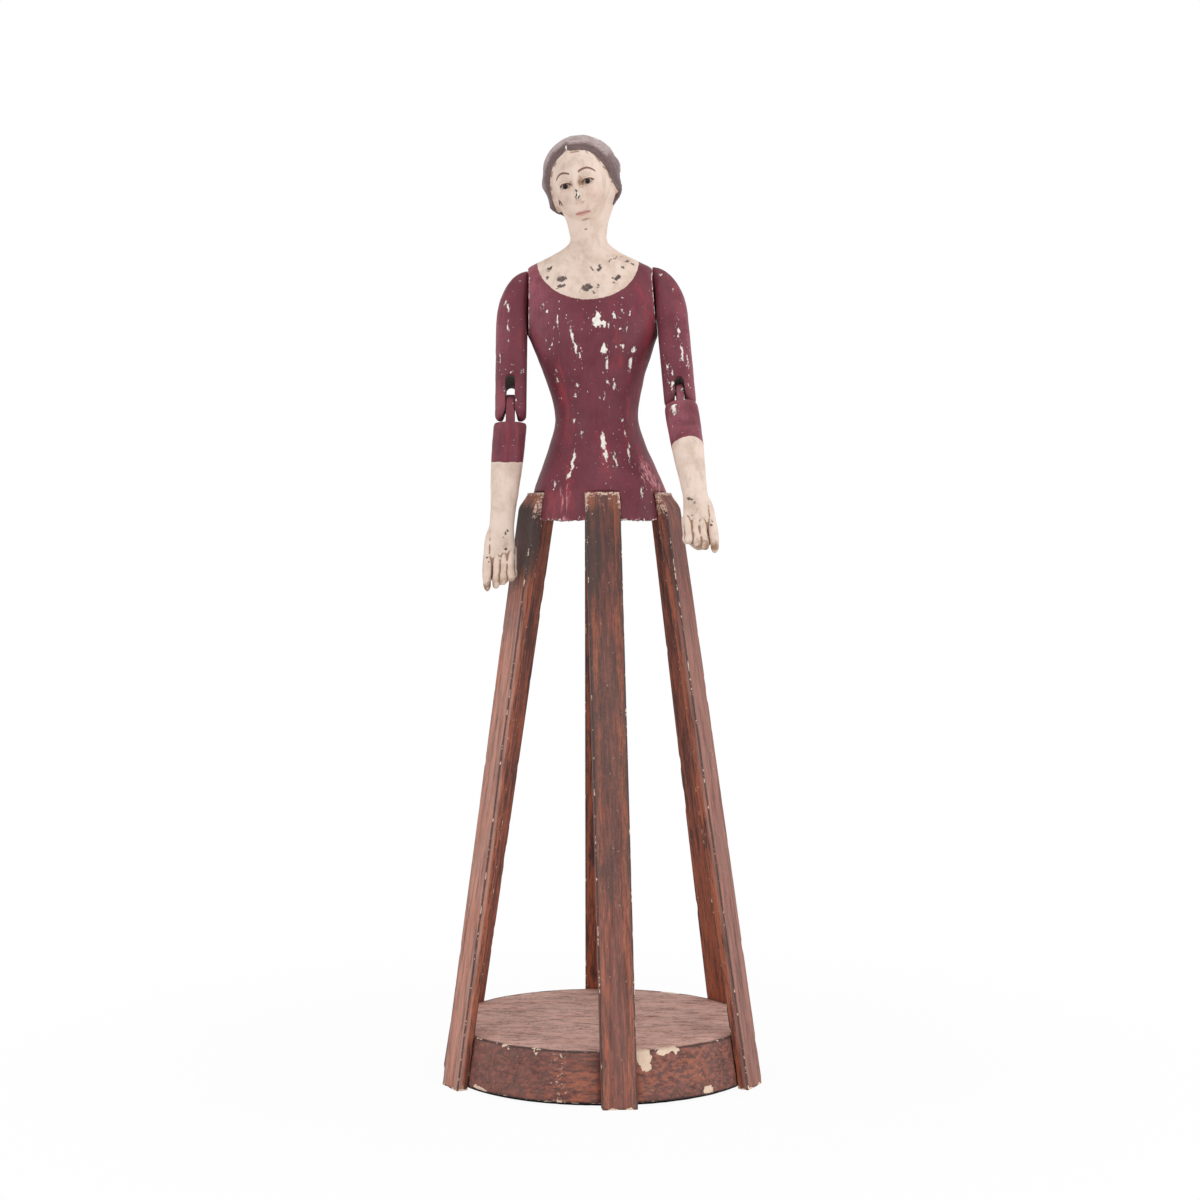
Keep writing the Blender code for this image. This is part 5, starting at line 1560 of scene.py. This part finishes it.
def build_forearms(sizes, colours):
    """Forearms with their tongues and hands: four curled fingers and a thumb on the outer side."""
    finish = painted_wood_finish("painted_forearms", colours)
    for side, sign in SIDES.items():
        splay = math.tan(math.radians(FOREARM_SPLAY[side]))
        hand = hand_forms((KNUCKLES - FOREARM_TOP) * splay)
        forms = [forearm_block(splay), *tongue_forms(TONGUE_RADIUS[side]), *hand]
        bore = rod((-TONGUE_HALF_WIDTH - 3, 0, 0), (TONGUE_HALF_WIDTH + 3, 0, 0), PIN_BORE + 0.1)
        bm = carved(joined(forms), [], HAND_VOXEL, [bore])
        soften(bm, bm.verts, 0.4)
        local = points_of(bm)
        flare = between(np.hypot(local[:, 1], local[:, 2]), 5, 10.5) * (local[:, 2] > 0.3 - FOREARM_TOP)
        local[:, 0] += TONGUE_FLARE[side] * flare * np.sign(local[:, 0])
        move_to(bm, local)
        x, y, z = local.T
        down, across = -z, x - (-z - FOREARM_TOP) * splay
        swell(bm, sizes.carving / MM * 0.8 * lumps(local, 11, 7 + sign) * between(down, 11, 14))
        bend = hollows(bm, 3)
        tips = between(down, KNUCKLES + 8, KNUCKLES + 24)
        patchy = between(lumps(local, 4, 8 + sign), -0.6, 0.2) * between(down, 70, 85)
        dirt = 0.25 * between(lumps(local * (1, 1, 0.3), 7, 2 + sign), 0.15, 0.6) * between(down, 60, 85)
        arch = SLEEVE_ARCH[side] * (1 - np.clip((across / 10) ** 2, 0, 1))
        arm = joint_frame(f"elbow_{side}", SHOULDER_REST[side] + ELBOW_REST[side])
        bm = mirrored(bm, sign)
        marks = {
            # Dust and painted sheen lighten the sleeve, more on the left arm
            "dust": np.full(len(x), CUFF_DUST_AND_SHEEN[side]),
            "skin": down - SLEEVE_END[side] + arch + 0.7 * lumps(local, 9, 4 + sign),
            "flake": sleeve_flakes(bm, arm, y < 3, side),
            "bare": np.where(y < 0, spots(across, z, HAND_SCRATCHES), OUTSIDE),
            "worn": 0.8 * between(-bend, 0.08, 0.22) * between(z, -16, -12),
            "rub": 0.7 * between(lumps(local * (1, 1, 0.35), 13, 9 + sign), -0.1, 0.5),
            # Darker in the hollows of the hand and between the fingers, partly grime and partly painted
            # shade, with grime on the fingertips and in streaks above the wrist
            "grime_and_shade": (1.9 * between(bend, -0.01, 0.045) + 0.85 * tips) * patchy + dirt,
        }
        body = f"forearm_{side}"
        add_piece(f"carved_forearm_{side}", bm, finish, [body], body, marks, arm)


def finish_pegs(colours):
    """Pegs, pins and the dowel keep their CAD shapes and get bare wood."""
    finish = bare_wood_finish("whittled_wood", colours)
    for name, node in frame["nodes"].items():
        if "_peg_" in name or "_pin_" in name or name == "neck_dowel":
            node.material_slots[0].material = finish


def build_floor():
    """A floor that shows white to the camera, with a trace of shadow round the doll."""
    grid = bmesh.new()
    bmesh.ops.create_grid(grid, x_segments=1, y_segments=1, size=FLOOR_HALF_WIDTH)
    mesh = bpy.data.meshes.new("studio_floor")
    grid.to_mesh(mesh)
    grid.free()
    floor = bpy.data.objects.new("studio_floor", mesh)
    bpy.context.scene.collection.objects.link(floor)
    material, nodes = new_finish("white_floor")
    shader = material.node_tree.nodes["Principled BSDF"]
    shader.inputs["Base Color"].default_value = (0.95, 0.95, 0.95, 1)
    shader.inputs["Roughness"].default_value = 0.9
    seen = nodes.node("ShaderNodeLightPath", output="Is Camera Ray")
    glow = nodes.node("ShaderNodeEmission", None, {"Color": WHITE, "Strength": 1.0})
    body = Signal(nodes, shader.outputs[0])
    place = nodes.node("ShaderNodeTexCoord", output="Object")
    away = nodes.node("ShaderNodeVectorMath", {"operation": "LENGTH"}, {0: place}, "Value")
    share = 1 - 0.06 * nodes.step(away, 0.6, 0.15)
    mixed = nodes.node("ShaderNodeMixShader", None, {0: seen * share, 1: body, 2: glow})
    output = material.node_tree.nodes["Material Output"]
    material.node_tree.links.new(mixed.socket, output.inputs["Surface"])
    mesh.materials.append(material)


def build_surround():
    """A surround that looks white and lights the doll more dimly."""
    scene = bpy.context.scene
    world = scene.world or bpy.data.worlds.new("studio")
    scene.world = world
    world.use_nodes = True
    world.node_tree.nodes.clear()
    nodes = Nodes(world.node_tree)
    rays = ("Is Camera Ray", "Is Glossy Ray", "Is Transmission Ray")
    seen = nodes.most(*(nodes.node("ShaderNodeLightPath", output=ray) for ray in rays))
    dim = nodes.node("ShaderNodeBackground", None, {"Color": WHITE, "Strength": SURROUND_LIGHT})
    white = nodes.node("ShaderNodeBackground", None, {"Color": WHITE, "Strength": 1.0})
    mixed = nodes.node("ShaderNodeMixShader", None, {0: seen, 1: dim, 2: white})
    output = world.node_tree.nodes.new("ShaderNodeOutputWorld")
    world.node_tree.links.new(mixed.socket, output.inputs["Surface"])


def build_stage():
    """White floor and surround, soft lamps and the camera."""
    scene = bpy.context.scene
    scene.view_settings.view_transform = "Standard"
    build_floor()
    build_surround()
    for name, (place, size, power) in LAMPS.items():
        lamp = bpy.data.lights.new(name, "AREA")
        lamp.size, lamp.energy = size, power
        lamp_object = bpy.data.objects.new(name, lamp)
        lamp_object.location = place
        aim = Vector(LAMP_AIM) - Vector(place)
        lamp_object.rotation_euler = aim.to_track_quat("-Z", "Y").to_euler()
        scene.collection.objects.link(lamp_object)
    camera = bpy.data.cameras.new("camera")
    camera.lens, camera.sensor_width = CAMERA_LENS, CAMERA_SENSOR
    camera_object = bpy.data.objects.new("camera", camera)
    camera_object.location = CAMERA_PLACE
    camera_object.rotation_euler = (math.radians(90 - CAMERA_DIP), 0, 0)
    scene.collection.objects.link(camera_object)
    scene.camera = camera_object


# Operators, panel and registration


class DOLL_OT_base(bpy.types.Operator):
    """Builds the round base board and the felt pad"""

    bl_idname = "cage_doll.base"
    bl_label = "Base"

    def execute(self, context):
        build_board(context.scene.doll_colours)
        build_felt(context.scene.doll_colours)
        return {"FINISHED"}


class DOLL_OT_slats(bpy.types.Operator):
    """Builds the six slats of the cage"""

    bl_idname = "cage_doll.slats"
    bl_label = "Slats"

    def execute(self, context):
        build_slats(context.scene.doll_colours)
        return {"FINISHED"}


class DOLL_OT_torso(bpy.types.Operator):
    """Builds the carved and painted torso"""

    bl_idname = "cage_doll.torso"
    bl_label = "Torso"

    def execute(self, context):
        build_torso(context.scene.doll_sizes, context.scene.doll_colours)
        return {"FINISHED"}


class DOLL_OT_head(bpy.types.Operator):
    """Builds the head with its hair"""

    bl_idname = "cage_doll.head"
    bl_label = "Head"

    def execute(self, context):
        build_head(context.scene.doll_sizes, context.scene.doll_colours)
        return {"FINISHED"}


class DOLL_OT_eyes(bpy.types.Operator):
    """Builds the glass eyes"""

    bl_idname = "cage_doll.eyes"
    bl_label = "Eyes"

    def execute(self, context):
        build_eyes(context.scene.doll_colours)
        return {"FINISHED"}


class DOLL_OT_upper_arms(bpy.types.Operator):
    """Builds the upper arms with their forked elbows"""

    bl_idname = "cage_doll.upper_arms"
    bl_label = "Upper Arms"

    def execute(self, context):
        build_upper_arms(context.scene.doll_sizes, context.scene.doll_colours)
        return {"FINISHED"}


class DOLL_OT_forearms(bpy.types.Operator):
    """Builds the forearms and hands"""

    bl_idname = "cage_doll.forearms"
    bl_label = "Forearms"

    def execute(self, context):
        build_forearms(context.scene.doll_sizes, context.scene.doll_colours)
        return {"FINISHED"}


class DOLL_OT_pegs(bpy.types.Operator):
    """Gives the pegs, pins and dowel their bare wood"""

    bl_idname = "cage_doll.pegs"
    bl_label = "Pegs"

    def execute(self, context):
        finish_pegs(context.scene.doll_colours)
        return {"FINISHED"}


class DOLL_OT_stage(bpy.types.Operator):
    """Sets up the floor, the light and the camera"""

    bl_idname = "cage_doll.stage"
    bl_label = "Stage"

    def execute(self, context):
        build_stage()
        return {"FINISHED"}


OPERATORS = (
    DOLL_OT_stage,
    DOLL_OT_base,
    DOLL_OT_slats,
    DOLL_OT_torso,
    DOLL_OT_head,
    DOLL_OT_eyes,
    DOLL_OT_upper_arms,
    DOLL_OT_forearms,
    DOLL_OT_pegs,
)


class DOLL_PT_panel(bpy.types.Panel):
    """Lists the doll's pieces, sizes and colours"""

    bl_idname = "DOLL_PT_panel"
    bl_label = "Cage Doll"
    bl_space_type = "VIEW_3D"
    bl_region_type = "UI"
    bl_category = "Cage Doll"

    def draw(self, context):
        for group in (context.scene.doll_sizes, context.scene.doll_colours):
            for name in group.bl_rna.properties.keys():
                if name not in ("rna_type", "name"):
                    self.layout.prop(group, name)
        for operator in OPERATORS:
            self.layout.operator(operator.bl_idname)


CLASSES = (DollSizes, DollColours, *OPERATORS, DOLL_PT_panel)


def register():
    for item in CLASSES:
        bpy.utils.register_class(item)
    bpy.types.Scene.doll_sizes = PointerProperty(type=DollSizes)
    bpy.types.Scene.doll_colours = PointerProperty(type=DollColours)


def unregister():
    del bpy.types.Scene.doll_colours
    del bpy.types.Scene.doll_sizes
    for item in reversed(CLASSES):
        bpy.utils.unregister_class(item)


def main():
    register()
    for operator in OPERATORS:
        getattr(bpy.ops.cage_doll, operator.bl_idname.split(".")[1])()


if __name__ == "__main__":
    main()
